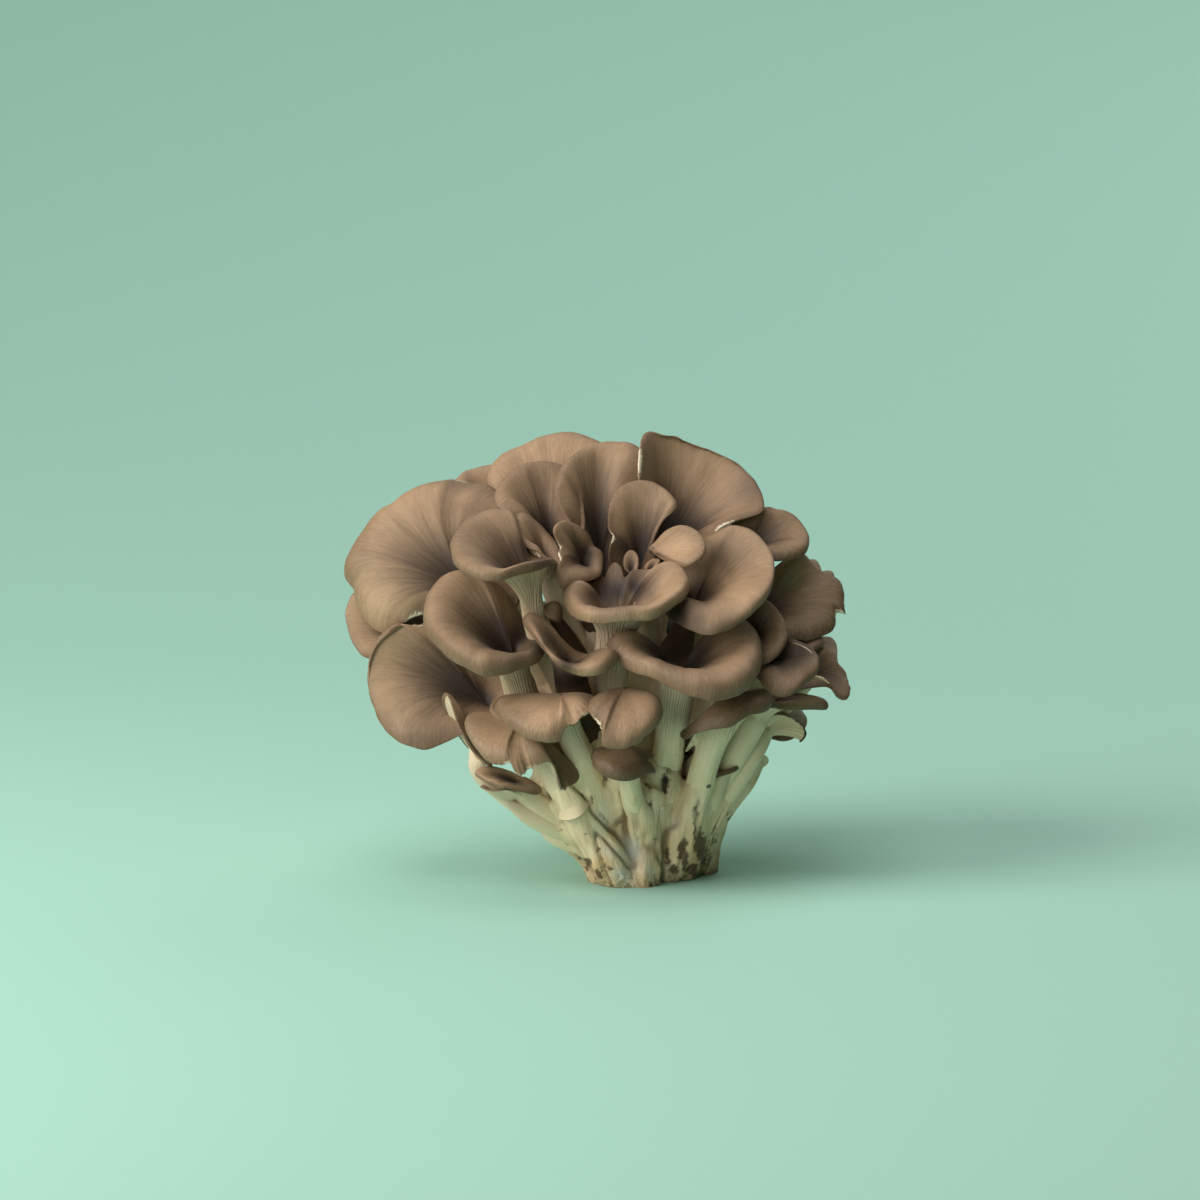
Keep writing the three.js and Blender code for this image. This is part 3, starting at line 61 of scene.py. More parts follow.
# Each frond: throat is the bottom of the funnel, neck and foot (or the limb that it joins)
# shape its stem, girth is the stem's radius from throat to foot, and rim is the edge of the
# cap: across, depth, height and the angle that the edge rolls over by. deep, open and roll
# shape the funnel between them. A plain cap has a dish instead: its middle, half widths,
# the way that it faces, and waves.
FRONDS = [
    # the heart of the rosette
    entry("front_centre_funnel", [-16.5, -24.5, 81.6], [-19.2, -19.5, 62.6], foot=[-12, -8, 50],
          girth=[6.5, 6.5, 7], roll=15, deep=0.35, rim=[
        -34, -30, 100, 80, -31, -42, 95, 95, -27, -50, 92.6, 100, -20, -54, 91.6, 100,
        -10, -55, 92.8, 100, -2, -53, 93.3, 100, 5, -46, 97.2, 95, 10, -38, 101.5, 90,
        11.3, -28, 106, 85, 9.4, -22.5, 110.5, 60, 5.4, -20, 113.2, 20, 0.8, -18, 112.6, -40,
        -4, -16.8, 110.9, -50, -9, -16.2, 111, -50, -12, -17, 108, -50, -13.6, -15.5, 112, -60,
        -16, -14.5, 113.7, -60, -18.2, -15.5, 110.5, -60, -19.4, -16.5, 107.4, -60,
        -21, -15.5, 109.5, -60, -23, -17.5, 106.2, -60, -27.5, -19.5, 106.5, -20,
        -31, -22.5, 106.3, 10, -33, -24, 104.5, 60]),
    entry("ruffled_heart", [-27, -13, 110], [-25, -9, 92], joins=[-16, -2, 78], girth=[5, 5, 5],
          roll=8, deep=0.4, rim=[
        -37.8, -22, 124.5, 60, -37, -20, 126.3, 60, -34, -17, 127.6, 50, -30, -14, 127.2, 40,
        -27, -12, 125.6, 30, -25, -11, 123.6, 20, -23, -10, 119.5, 30, -20.5, -12, 117.3, 50,
        -20, -14, 113.5, 60, -21, -18, 109, 70, -25, -23, 107, 80, -30, -26, 105.5, 80,
        -34, -28, 104, 80, -36.5, -28, 107, 70, -37.2, -27, 110, 60, -35.3, -24, 114, 40,
        -36.4, -23.2, 117, 50, -35.4, -21.8, 119, 50]),
    entry("heart_spoon", [-7.8, -1.7, 104.5], [-10.5, 0.8, 91.8], joins=[-9, 1, 80],
          girth=[2.3, 5, 5], roll=7, deep=0.5, flesh=0.8, rim=[
        -16.3, -8.5, 123.8, -20, -17.9, -8, 125.4, -10, -17.8, -7.5, 131, 10, -17, -5, 136, 40,
        -14, -2.5, 140.5, 50, -9.5, -1.5, 142.8, 55, -4.5, -1.5, 142.8, 55, 0.5, -2.5, 141, 55,
        4.5, -5, 138, 55, 7, -7, 134.5, 55, 5, -8, 131.6, 20, 1.5, -8, 128.3, -20,
        -1, -7, 123.5, -50, -3, -6, 117.5, -60, -4.5, -5.5, 112, -60, -9, -6, 109, -60,
        -14, -7, 110.5, -60, -17.3, -8, 114.5, -60, -17.6, -8.5, 119, -40]),
    entry("heart_tongue", [-2.1, -12.9, 118.8], [-2.9, -3.5, 109.4], joins=[-4, -2, 78],
          girth=[2.4, 4.5, 5], roll=4.2, deep=0.21, flesh=0.6, open=90, rim=[
        -3.6, -9.5, 119, 40, 0, -9.5, 122, 60, 4, -12, 125.3, 70, 8, -16, 126.6, 75,
        12, -19, 125.7, 80, 15.5, -22, 123, 85, 17.3, -25, 119, 85, 16.3, -27, 116, 85,
        13, -28, 113, 85, 9.5, -26.5, 111.6, 85, 5, -22, 113, 70, 1, -16.5, 115, 60,
        -2, -12.5, 117, 50]),
    entry("heart_bud_left", [-9.8, -10.4, 109.3], [-10.3, -6.2, 100], joins=[-9, -3, 84],
          girth=[1.9, 2.8, 3], roll=1.2, deep=0.3, flesh=0.7, open=20, rim=[
        -12.4, -11, 112.5, 0, -12.3, -9.6, 115.6, 20, -10.8, -8.6, 117.8, 40,
        -8.6, -8.6, 117.7, 40, -7.1, -9.8, 115.4, 20, -7.3, -11.2, 112.2, 0,
        -8.6, -12.4, 110.3, -20, -11, -12.4, 110.3, -20]),
    entry("heart_bud_right", [-3.3, -12.4, 109.6], [-3.6, -9, 103], joins=[-5, -4, 84],
          girth=[1.5, 2.6, 3], roll=1.2, deep=0.3, flesh=0.6, open=20, rim=[
        -5, -13, 111.6, 0, -4, -12.3, 113.6, 20, -2, -11.9, 114.8, 40, 0.2, -12, 114.8, 60,
        0.7, -12.6, 113.8, 60, -0.8, -13.4, 112, 20, -2.6, -14, 110.6, -20,
        -4.2, -14, 110.4, -20]),
    entry("right_centre_ear", [10.3, -10.2, 92.5], [4.2, -6.8, 77.2], joins=[2, -3, 60],
          girth=[4, 7.5, 7], roll=14, deep=0.35, rim=[
        19, -8, 123.7, 50, 24, -10, 124.8, 65, 30, -14, 123.5, 80, 35.5, -19, 120.5, 85,
        39.5, -24, 115.5, 90, 41.3, -29, 109.5, 90, 41, -34, 104, 90, 38.5, -38, 99.5, 90,
        34.5, -42, 95.5, 90, 30, -45, 91.8, 90, 25, -47, 88.8, 90, 19, -48, 87.5, 90,
        12, -46, 89, 90, 7.5, -42, 91.3, 85, 3.5, -35, 93.8, 80, 2.5, -24, 97, 60, 4, -12, 105, 30,
        7, -4, 113, 20, 13, -4, 120, 30]),
    entry("left_upper_funnel", [-45.2, -25.7, 97.1], [-43.2, -22.4, 81], foot=[-24, -8, 54],
          girth=[4.1, 4.5, 5], roll=12, deep=0.35, flesh=2, rim=[
        -36.3, -31, 113.2, 70, -40, -38, 112, 90, -45, -44, 110.5, 95, -52, -50, 108.5, 100,
        -58, -53, 107, 100, -64, -52, 107.6, 95, -70, -47, 110, 90, -74, -41, 114, 85,
        -74.8, -34, 119, 75, -73, -27, 123.5, 65, -69, -21, 127.7, 60, -63, -16, 130.8, 50,
        -57, -13, 131.8, 40, -53, -12, 131.5, 30, -50.5, -12, 127, 20, -48, -13, 121, 10,
        -44, -15, 117, 10, -39, -22, 114.5, 40]),
    entry("left_lower_funnel", [-50, -26, 69], [-47, -22, 56], foot=[-22, -9, 36],
          girth=[6, 5.5, 6.5], roll=18, deep=0.5, rim=[
        -41, -36, 82, 70, -42.5, -42, 79, 85, -45, -47, 77, 95, -50, -53, 74.7, 100,
        -56, -57, 73.2, 100, -63, -58, 73.3, 100, -70, -55, 76, 95, -77, -49, 80.7, 90,
        -82, -41, 86.5, 85, -84.3, -34, 92, 80, -84, -27, 98, 75, -81.5, -21, 103.5, 65,
        -76, -17, 107, 60, -69, -14, 109.3, 50, -62, -12, 108.5, 30, -55, -12, 103, 20,
        -50, -14, 96, 10, -46, -20, 89, 20, -42, -28, 84.5, 40]),
    entry("centre_left_wave", [-31.8, -34.9, 73.4], [-28.8, -25.9, 55.6], foot=[-14, -10, 40],
          girth=[6, 6, 6.5], roll=10, deep=0.28, flesh=1.8, open=30, rim=[
        -48.7, -36, 92, 60, -46, -42, 88, 80, -43, -46, 84.5, 90, -40, -50, 80.5, 95,
        -37, -53, 77, 100, -33, -55, 74, 100, -28, -56, 72.5, 100, -22, -56, 73, 100,
        -18, -54, 75, 95, -15, -50, 78, 85, -14, -43, 80, 60, -18, -35, 80, 40, -24, -31, 80, 30,
        -30, -29, 82, 30, -35, -28, 87, 30, -39, -28, 91, 30, -43, -29, 93.5, 40,
        -47, -32, 94.5, 50]),
    entry("front_right_broad", [6, -28, 64], [4, -23, 50], foot=[2, -10, 32], girth=[6.5, 5.5, 7],
          roll=17, deep=0.5, rim=[
        -18.6, -40, 84, 70, -17, -44, 81, 85, -13.5, -48, 76.5, 90, -9, -51, 74, 95,
        -4, -53, 72.8, 95, 1, -55, 70.5, 95, 6, -57, 68, 95, 12, -59, 65.4, 95, 20, -59, 64, 95,
        27, -56, 65.3, 95, 32, -51, 68, 95, 35.5, -45, 72, 90, 37.3, -38, 77.5, 85,
        37.2, -31, 84, 75, 34.5, -25, 89, 65, 30, -21, 91, 50, 23, -18, 88, 30, 15, -17, 83, 10,
        8, -18, 79, 10, 1, -22, 80, 20, -6, -27, 83, 30, -12, -32, 85.5, 40, -17, -36, 85.5, 50]),
    entry("front_wide_cap_left", [-35, -44, 66], [-32, -34, 47], foot=[-16, -16, 18],
          girth=[5, 5, 5.5], roll=9, deep=0.3, flesh=2, open=90, rim=[
        -58.5, -46, 61, 70, -56.5, -52, 57, 80, -51.5, -56, 53, 85, -47.5, -59, 50.3, 90,
        -43, -60, 49, 90, -38.5, -60, 48.8, 90, -35.3, -59, 49.6, 80, -34, -58, 53, 60,
        -32.6, -57, 54.8, 50, -30, -56.5, 55.2, 40, -26.5, -55.5, 58, 40, -23, -52, 60.5, 50,
        -20.5, -45, 63, 50, -21, -37, 63, 60, -29, -31, 61, 80, -42, -33, 61, 80, -50, -37, 61, 80,
        -56.5, -42, 61, 75]),
    entry("front_wide_cap_right", [-12, -43, 68.5], [-14.5, -33, 50], foot=[-14, -15, 18],
          girth=[5, 5, 5.5], roll=9, deep=0.3, flesh=2, open=90, rim=[
        -25.4, -55.5, 60.4, 60, -24.4, -57.5, 58.4, 60, -22.9, -59.2, 56, 65, -21.2, -61, 52.5, 75,
        -20.5, -62, 49.5, 85, -19.8, -62, 47.3, 90, -15, -63, 46.6, 90, -10, -63, 47.6, 90,
        -5, -61, 50.2, 90, -1, -57, 54, 85, 1.2, -51, 58, 80, 1.3, -45, 62, 75,
        -1.5, -38, 61.5, 80, -5, -33, 61, 80, -12, -30, 60.5, 80, -20, -33, 61, 70,
        -25.5, -40, 62, 60, -27, -49, 61.5, 60]),
    # the small caps under the rosette's front edge
    entry("front_small_cap", [-13, -44, 47.5], [-10.5, -35, 33], foot=[-7, -17, 18],
          girth=[4.5, 4, 5], roll=9, deep=0.3, open=90, rim=[
        -24.2, -47, 43, 80, -23.3, -51, 39.5, 85, -20.5, -54, 37, 85, -16, -56, 35.2, 85,
        -11, -56, 34.9, 85, -6.5, -54, 36, 80, -3, -51, 37.8, 70, -0.8, -48, 38.8, 60,
        -2.5, -47, 40.4, 60, -4.2, -45.8, 41.2, 60, -3.8, -45, 42.6, 60, -1.5, -42, 43.8, 60,
        -5, -37, 43, 80, -12, -34, 42.5, 80, -19, -36, 42.5, 80, -23.3, -41, 43.5, 80]),
    entry("lower_left_drape", [-49, -37, 58], [-40, -30, 41], foot=[-19, -20, 10],
          girth=[3.8, 5.8, 5.5], roll=9, deep=0.3, flesh=1.05, open=90, rim=[
        -69.6, -39, 53.5, 75, -69, -36, 56, 60, -66, -33, 55, 70, -60, -29, 54, 80,
        -53, -27, 53, 80, -44, -27, 50, 80, -36, -29, 46, 70, -32, -34, 43, 60, -28.5, -38, 37, 70,
        -31, -42, 33, 80, -33.7, -44, 30.2, 80, -35.5, -48, 36, 80, -37, -50.5, 40, 80,
        -40, -51.5, 41.5, 80, -44, -52, 39.5, 80, -46.5, -52, 37.3, 80, -50, -53, 35.8, 85,
        -52, -53, 37.5, 85, -54, -53, 40.5, 85, -57, -52, 40.3, 85, -62, -49, 42, 85,
        -65.5, -46, 46, 85, -68.3, -43, 50.5, 80]),
    entry("left_edge_lip", [-49.8, -29.7, 59.7], [-43.8, -24.7, 43.7], foot=[-20, -12, 24],
          girth=[5, 4.5, 5], roll=3.6, deep=0.17, open=60, rim=[
        -60.3, -37, 59.2, 75, -60.5, -35, 62, 70, -58.5, -32, 64.3, 60, -55, -28, 65.6, 60,
        -48, -24, 64.5, 60, -42, -23, 60, 60, -42, -30, 55, 60, -48, -38, 54, 70,
        -56, -40, 56, 75]),
    entry("left_upright_flap", [-64, -28, 44], [-66, -27, 32], foot=[-25, -15, 14],
          girth=[4, 4, 4.5], roll=5, deep=0.3, flesh=1.8, open=30, rim=[
        -60, -31, 41, 0, -65.5, -36, 45, 0, -69, -36, 50, 0, -72, -34, 56, 0, -73.5, -31, 61, 0,
        -76.5, -29, 66.5, 10, -77.5, -26, 63, 20, -75, -22, 57, 20, -72, -20, 52, 20,
        -68, -20, 47, 20, -62, -22, 42, 20]),
    entry("lower_left_shelf_upper", [-51.4, -31, 34], [-44.5, -22.1, 25.6], foot=[-23, -16, 13],
          girth=[3.4, 4.5, 4.5], roll=4.9, deep=0.2, flesh=0.8, open=55, rim=[
        -66, -32, 37.3, 60, -64, -30, 39.3, 50, -60, -27, 40, 40, -54, -25, 39, 40,
        -47, -25, 36, 40, -42, -29, 32, 50, -44, -35, 30, 60, -50, -38, 31, 70, -54, -39, 32.3, 70,
        -57, -39, 32, 70, -59, -38, 33.5, 70, -62, -36, 34.2, 70]),
    entry("lower_left_shelf_lower", [-54.2, -27.8, 26.9], [-48.6, -26.3, 22.3],
          foot=[-23, -14, 12], girth=[2, 3.6, 4], roll=4, deep=0.28, flesh=0.75, rim=[
        -64.2, -32, 32.6, 40, -62.5, -28, 33.5, 40, -57, -24, 33, 30, -50, -24, 31, 30,
        -47, -28, 30, 40, -50, -34, 31, 50, -54, -36, 32, 60, -58, -36, 31.3, 60,
        -62, -35, 31.6, 60]),
    entry("lowest_left_stub", [-44.9, -18.6, 20.7], [-40, -18, 17], foot=[-26, -13, 9],
          girth=[2.8, 3.6, 4.2], roll=1.8, deep=0.15, flesh=0.95, open=60, rim=[
        -48.5, -18, 22, 90, -47.5, -15, 24, 80, -44.5, -14, 23.6, 60, -42.5, -17, 20.8, 50,
        -44, -21, 19.6, 70, -47, -21, 20.2, 90]),
    entry("left_collar_cup", [-30, -27.5, 33], [-27, -25, 22], foot=[-20, -19, 7],
          girth=[3, 3.4, 4.5], roll=2, deep=0.2, flesh=0.9, open=90, rim=[
        -36, -30, 21.4, 80, -33.5, -33, 20.8, 80, -30, -34.5, 21.2, 80, -27.2, -34, 22.6, 80,
        -25.4, -31, 25.4, 80, -25.6, -28, 27.6, 80, -29, -26, 28, 80, -34.5, -27, 25, 80]),
    entry("right_lower_cap", [27, -31, 67], [17, -27, 46], foot=[10, -8, 14], girth=[7, 5, 6],
          roll=12, deep=0.3, open=90, rim=[
        8.2, -40, 51, 60, 10, -43, 50.5, 80, 12.5, -45, 51.7, 90, 17, -47, 53, 90,
        22, -48, 54.1, 90, 26.5, -48, 54.8, 90, 30, -47, 57, 85, 34, -45, 59, 80,
        37, -43, 59.3, 80, 40.3, -39, 61, 75, 41.2, -33, 64.5, 65, 39.5, -28, 64.5, 70,
        34, -27, 61.5, 80, 27, -25, 59.5, 80, 18, -24, 56.5, 80, 11, -31, 53, 70,
        8.5, -36, 53, 50]),
    entry("right_under_cap", [34, -18, 57], [27, -13, 43], foot=[14, -6, 24], girth=[5.5, 5, 5],
          roll=7, deep=0.4, rim=[
        26, -26, 61, 40, 31, -29, 61, 50, 36, -31, 60, 60, 40.5, -29, 61.3, 60,
        44.5, -24.5, 60.6, 60, 51, -21.5, 60.4, 70, 59.5, -20, 60.4, 70, 61.3, -18.8, 62, 60,
        60, -17.5, 63.3, 50, 51, -16, 64.3, 50, 46, -13.5, 63, 50, 43, -9, 62, 50, 36, -7, 62, 40,
        29, -10, 61, 30, 25.5, -17, 60.5, 30]),
    entry("right_small_round", [23, -15, 38.5], [19, -12, 30], foot=[14, -4, 16],
          girth=[4, 4, 4.5], roll=5, deep=0.25, flesh=2, open=60, rim=[
        17.8, -18, 36.5, 70, 20, -21, 36, 80, 24, -21, 37, 80, 28, -18, 38.6, 80,
        29, -14, 39.8, 70, 27, -11, 41, 60, 23.5, -10, 41.8, 60, 20, -12, 39.8, 60]),
    entry("right_curled_frond", [37.5, -8.1, 52], [32.5, -12.6, 40.7], foot=[17, -3, 20],
          girth=[3.8, 4, 5], roll=5, deep=0.28, flesh=1.05, rim=[
        34, -13, 55.5, 30, 38, -15, 58, 40, 44, -16, 59.2, 60, 49, -14, 57.8, 80,
        52.5, -12, 54.5, 110, 53, -12, 51, 130, 51, -10, 48.8, 140, 52, -4, 50, 120, 51, 2, 54, 90,
        46, 6, 58, 60, 39, 5, 58.5, 40, 34, 0, 56.5, 30, 32.5, -7, 55, 30]),
    entry("right_stub", [37.6, -4.3, 41.0], [33, -2.5, 34], foot=[20, -3, 20],
          girth=[2.2, 2.8, 3.4], roll=2, deep=0.2, flesh=0.55, open=60, rim=[
        36.5, -6, 43.6, 70, 38.8, -5, 43.5, 90, 39.2, -2, 41.5, 100, 37.5, -1, 39.8, 90,
        35.5, -2, 40.5, 70, 35, -5, 42, 60]),
    # the right-hand side
    entry("right_shaded_cap", [31.6, -22.2, 82], [27.4, -16.6, 67.4], joins=[10, -3, 56],
          girth=[4.5, 5.5, 6], roll=6.3, deep=0.4, flesh=0.8, rim=[
        34, -18, 98.5, 40, 38.5, -21, 99.6, 60, 42, -24, 97.3, 70, 44.8, -27, 93, 80,
        46.3, -30, 88, 85, 46, -32, 84.5, 85, 44, -34, 81, 85, 41, -35, 78.2, 85,
        37.5, -35, 76.8, 80, 32, -32, 77, 70, 26, -26, 80, 50, 22, -17, 85, 30, 23, -10, 91, 20,
        28, -7, 97, 30]),
    entry("far_right_fan", [35, -1.3, 92], [23.9, 0.8, 74.2], joins=[14, 2, 60], girth=[6.5, 6, 6],
          roll=10, deep=0.28, flesh=1.4, rim=[
        41, 3, 111, 10, 47, 6, 115.5, 20, 51.5, 7, 116.6, 40, 55, 6, 113, 50, 58, 5, 109.6, 50,
        61.5, 4, 107, 60, 65, 2, 104.8, 65, 66.8, -1, 101, 65, 67.3, -3, 98, 60,
        68.2, -5, 95.2, 50, 65.3, -6, 96, 50, 64.8, -7, 92.5, 60, 63.3, -9, 89.5, 60,
        60, -11, 87.8, 60, 57, -12, 86.7, 60, 53, -13, 85.6, 60, 51, -13, 86.4, 60,
        48.5, -14, 85.8, 60, 45, -14, 86.5, 50, 38, -12, 87, 30, 31, -8, 89, 20, 30, -3, 95, 10,
        35, 0, 104, 10]),
    entry("upper_right_cap", [30, 2, 114], [20, 4, 96], joins=[4, 4, 72], girth=[6, 6, 6], roll=9,
          deep=0.4, rim=[
        26, 2, 127, 30, 32, 6, 131, 45, 38, 8, 132.6, 60, 42, 8, 131.3, 60, 46, 7, 130.3, 65,
        50, 5, 127.8, 70, 52.8, 2, 124.5, 75, 54.3, -2, 120.5, 80, 53.8, -6, 117.5, 80,
        51.5, -9, 115.8, 80, 47, -11, 114.8, 80, 43, -11, 114.3, 70, 39, -10, 114.5, 60,
        33, -8, 113, 40, 27, -5, 113, 20, 24, -1, 118, 10]),
    entry("right_round_cap", [39, -26, 76], [30, -21, 60], joins=[13, -8, 42], girth=[6, 5, 5.5],
          roll=9, deep=0.35, open=30, rim=[
        40, -25, 83.5, 40, 46, -27, 84.4, 60, 50.5, -29, 83.4, 70, 54.3, -32, 80.8, 80,
        56.8, -35, 77, 85, 57.3, -38, 74, 85, 55, -40, 71.3, 85, 52, -42, 69, 85,
        49, -43, 66.8, 85, 45, -43, 65.6, 85, 41.5, -42, 66, 85, 38.5, -40, 68.5, 80,
        36, -36, 71.8, 70, 33, -30, 75, 50, 35, -26, 80, 40]),
    entry("right_dark_frill", [45.5, -7.5, 79.6], [39.7, -2.2, 63.8], joins=[18, -1, 54],
          girth=[4.5, 4.5, 5], roll=4.2, deep=0.35, flesh=1.1, rim=[
        58, -9, 87.6, 40, 60, -11, 85, 50, 58.5, -13, 83.5, 50, 54, -15, 81, 50, 48, -16, 78, 50,
        42, -13, 76, 40, 39, -6, 79, 20, 44, -2, 86, 20, 52, -4, 88.5, 30]),
    entry("far_right_tongue", [51.2, -11.1, 71.1], [37.7, -5.5, 53.8], joins=[18, -4, 42],
          girth=[5, 4.5, 5], roll=4.5, deep=0.35, flesh=0.75, rim=[
        52, -9, 79, 20, 55, -9, 81.4, 20, 59.3, -10, 83.2, 40, 62, -12, 81.3, 60,
        64.2, -14, 79, 70, 64.5, -16, 76.3, 80, 66.8, -18, 73.5, 90, 68.3, -20, 70.5, 95,
        69.5, -22, 67.3, 95, 68.8, -24, 65, 95, 66.8, -25, 64, 95, 64.3, -25, 65.3, 90,
        62.5, -24, 68, 80, 59.8, -20.8, 69, 60, 54, -20, 68.5, 50, 48, -19, 67.5, 40,
        44, -15, 69, 20, 47, -11, 74, 10]),
    # the big fans at the left and the back
    entry("big_left_fan", [-62.7, -10.6, 97.1], [-43.5, -1.6, 76], joins=[-30, -3, 62],
          girth=[8, 7, 7], roll=20, deep=0.5, flesh=1.55, rim=[
        -84, -16, 94.5, 30, -88, -16, 94, 40, -92, -16, 92, 50, -96, -15, 89.3, 60,
        -99, -14, 88.3, 60, -103.5, -12, 90.8, 60, -107, -10, 95.5, 55, -109, -8, 100.5, 55,
        -109.8, -7, 104.3, 50, -112.3, -4, 108.5, 55, -111.3, -1, 113, 55, -108.5, 2, 119, 55,
        -104.5, 5, 125.3, 55, -100, 7, 130, 55, -94, 9, 134, 55, -88, 11, 138, 55,
        -82, 12, 141.2, 50, -76.5, 12, 143.7, 40, -73.5, 11, 143.8, 30, -71, 12.3, 143.2, 30,
        -65, 14, 141.8, 40, -58, 13, 141, 40, -50, 8, 136, 20, -47, 2, 124, 10, -48, -6, 108, 0,
        -54, -13, 94, 0, -64, -17, 88, 0, -75, -17, 91, 10]),
    entry("left_under_fan", [-78.2, -8, 82.7], [-62.4, -5, 72.3], joins=[-38, -4, 58],
          girth=[4.5, 6, 6], roll=4.5, deep=0.4, flesh=0.9, rim=[
        -109, -5, 103, 40, -111.5, -6, 99, 50, -112.6, -7, 94.5, 55, -111.8, -9, 89.5, 60,
        -110, -11, 84.5, 60, -107.5, -13, 81, 60, -103.8, -14, 79, 60, -97, -14, 78, 50,
        -88, -13, 77, 40, -78, -12, 80, 20, -74, -6, 88, 10, -80, 0, 98, 10, -92, 2, 105, 20,
        -102, -1, 107, 30]),
    entry("left_lower_fan", [-60.6, -15.9, 60.8], [-50.7, -15.1, 48.6], joins=[-22, -9, 32],
          girth=[6.5, 6.5, 6], roll=13, deep=0.45, flesh=1.55, rim=[
        -83, -15, 92.6, 40, -90, -16, 91.6, 50, -96, -17, 88.5, 60, -100.5, -17, 84.5, 65,
        -103.3, -17, 79, 70, -104.5, -17, 72.5, 70, -103.8, -18, 66, 70, -102, -20, 60.3, 70,
        -101, -21, 57.5, 70, -98, -23, 53, 70, -94, -25, 49.5, 70, -89, -27, 47.5, 70,
        -84, -28, 46.3, 70, -79, -28, 47.8, 65, -74, -28, 50.5, 60, -67, -28, 54, 40,
        -59, -26, 57, 20, -54, -20, 62, 0, -53, -13, 72, 0, -58, -9, 80, 10, -68, -9, 86, 20,
        -76, -12, 90.5, 30]),
    entry("left_back_fan", [-57, 13.9, 112.1], [-49, 15.4, 92], joins=[-20, 6, 70],
          girth=[4.9, 6.5, 6], roll=9.8, deep=0.4, rim=[
        -80, 12, 132, 30, -78, 17, 138, 40, -72, 21, 143.3, 50, -68, 25, 145.8, 50,
        -62, 28, 147.2, 50, -54, 29, 147.5, 50, -46, 26, 143, 40, -43, 20, 134, 30,
        -46, 13, 122, 10, -54, 9, 114, 10, -66, 8, 118, 10, -76, 9, 125, 20]),
    entry("top_left_fan", [-34.8, 8.7, 112.7], [-31.7, 13, 95.5], joins=[-16, 6, 78],
          girth=[7, 6.5, 6.5], roll=7.7, deep=0.35, flesh=1.8, rim=[
        -58, 8, 139, 40, -61.6, 11, 142, 50, -61.5, 15, 146, 55, -59, 19, 149.8, 55,
        -55, 23, 152.8, 55, -50, 26, 155, 55, -44, 29, 158, 55, -38, 31, 159.8, 55,
        -31, 32, 160, 55, -25, 31, 158.3, 55, -19, 29, 156, 50, -13, 25, 150, 40, -12, 17, 138, 20,
        -19, 9, 122, 10, -30, 5, 114, 0, -42, 4, 119, 10, -52, 5, 130, 20]),
    entry("upper_left_fan", [-36, -2, 110], [-31, 0, 92], joins=[-16, 1, 78], girth=[6.5, 6, 6],
          roll=14, deep=0.45, rim=[
        -55.5, -9, 132, 40, -58, -8, 134, 50, -59.3, -6, 137, 55, -58, -3, 140.3, 55,
        -54.5, 1, 143.8, 55, -50, 4, 146.3, 55, -45, 6, 148, 55, -39, 7, 148.9, 50,
        -33, 6, 148, 40, -29, 3, 143, 20, -27, -2, 132, 10, -28, -8, 118, 0, -33, -12, 110, 0,
        -40, -13, 112, 10, -46, -12, 119, 20, -50, -11, 127, 30]),
    entry("upper_centre_fan", [-20, 1, 106], [-17, 2, 88], joins=[-12, 3, 80], girth=[7, 6.5, 6.5],
          roll=14, deep=0.5, rim=[
        -31, -6, 127.5, 20, -33.5, -6, 131.5, 30, -35.5, -5, 135, 40, -37.3, -3, 139.5, 55,
        -37, 1, 144, 60, -34, 5, 148.5, 60, -30, 9, 151.3, 60, -25, 12, 153.3, 60,
        -19, 14, 155.6, 60, -13, 14, 155.8, 60, -7.5, 12, 155.8, 50, -4.8, 8, 152, 20,
        -4.4, 6, 144, 10, -5.5, 5, 132, 0, -10, 1, 117, 0, -16, -3, 108, 0, -22, -6, 109, 0,
        -28, -7, 118, 10]),
    entry("top_right_fan", [-1, 8.5, 108.5], [-5.3, 5.8, 92.9], joins=[-4, 5, 78], girth=[8, 7, 7],
          roll=8.1, deep=0.32, rim=[
        -6.8, -1, 140, 0, -6.8, 4, 149, 10, -6.2, 8, 156, 30, -4.5, 12, 160.2, 50, 1, 15, 159, 55,
        6, 16, 158.3, 55, 13, 17, 155.8, 55, 20, 17, 153, 55, 27, 16, 149.8, 55, 32, 14, 146, 60,
        35.5, 10, 141.5, 65, 38, 6, 136.5, 65, 37.8, 1, 132.5, 60, 33, -2, 130.3, 50,
        27, -5, 129, 30, 22, -7, 126, 20, 17, -8, 121, 10, 9, -5, 113, 0, 1, -2, 111, 0,
        -5, 0, 112, 0, -7.5, -1, 124, 0]),
    entry("small_knob", [-38.2, -24.7, 96.5], [-35.5, -13.9, 88.3], joins=[-18, -6, 66],
          girth=[2.2, 3.2, 4], roll=3, deep=0.3, flesh=0.8, open=90, rim=[
        -41.5, -25, 96.5, 90, -40.3, -22, 98.5, 90, -37, -20, 99.2, 90, -34.8, -20, 97.5, 90,
        -34.4, -22, 94, 90, -35.5, -26, 91.8, 90, -38.5, -27.5, 92.6, 90, -41, -27, 94.5, 90]),
    entry("folded_strip", [-39, -14, 108], [-34, -11, 92], joins=[-20, -4, 70],
          girth=[4.5, 4.5, 5], roll=7, deep=0.4, rim=[
        -51.6, -15, 130, 20, -51.4, -17, 127, 40, -50.5, -19, 121.5, 50, -47, -20.5, 119, 60,
        -43, -21.5, 117.5, 60, -41, -22, 115, 60, -38, -22.5, 113.6, 50, -35, -19, 114, 30,
        -36.5, -12, 119.5, 20, -40.5, -8, 125, 20, -45, -8, 129.4, 20, -49, -11, 131.2, 20]),
    # the back of the cluster
    entry("back_left_upper", [-50, 24, 100], [-41, 17, 82], joins=[-24, 12, 60], girth=[6.5, 6, 6],
          roll=12, deep=0.45, flesh=2, dish=[-64, 41, 115], across=[26, 26],
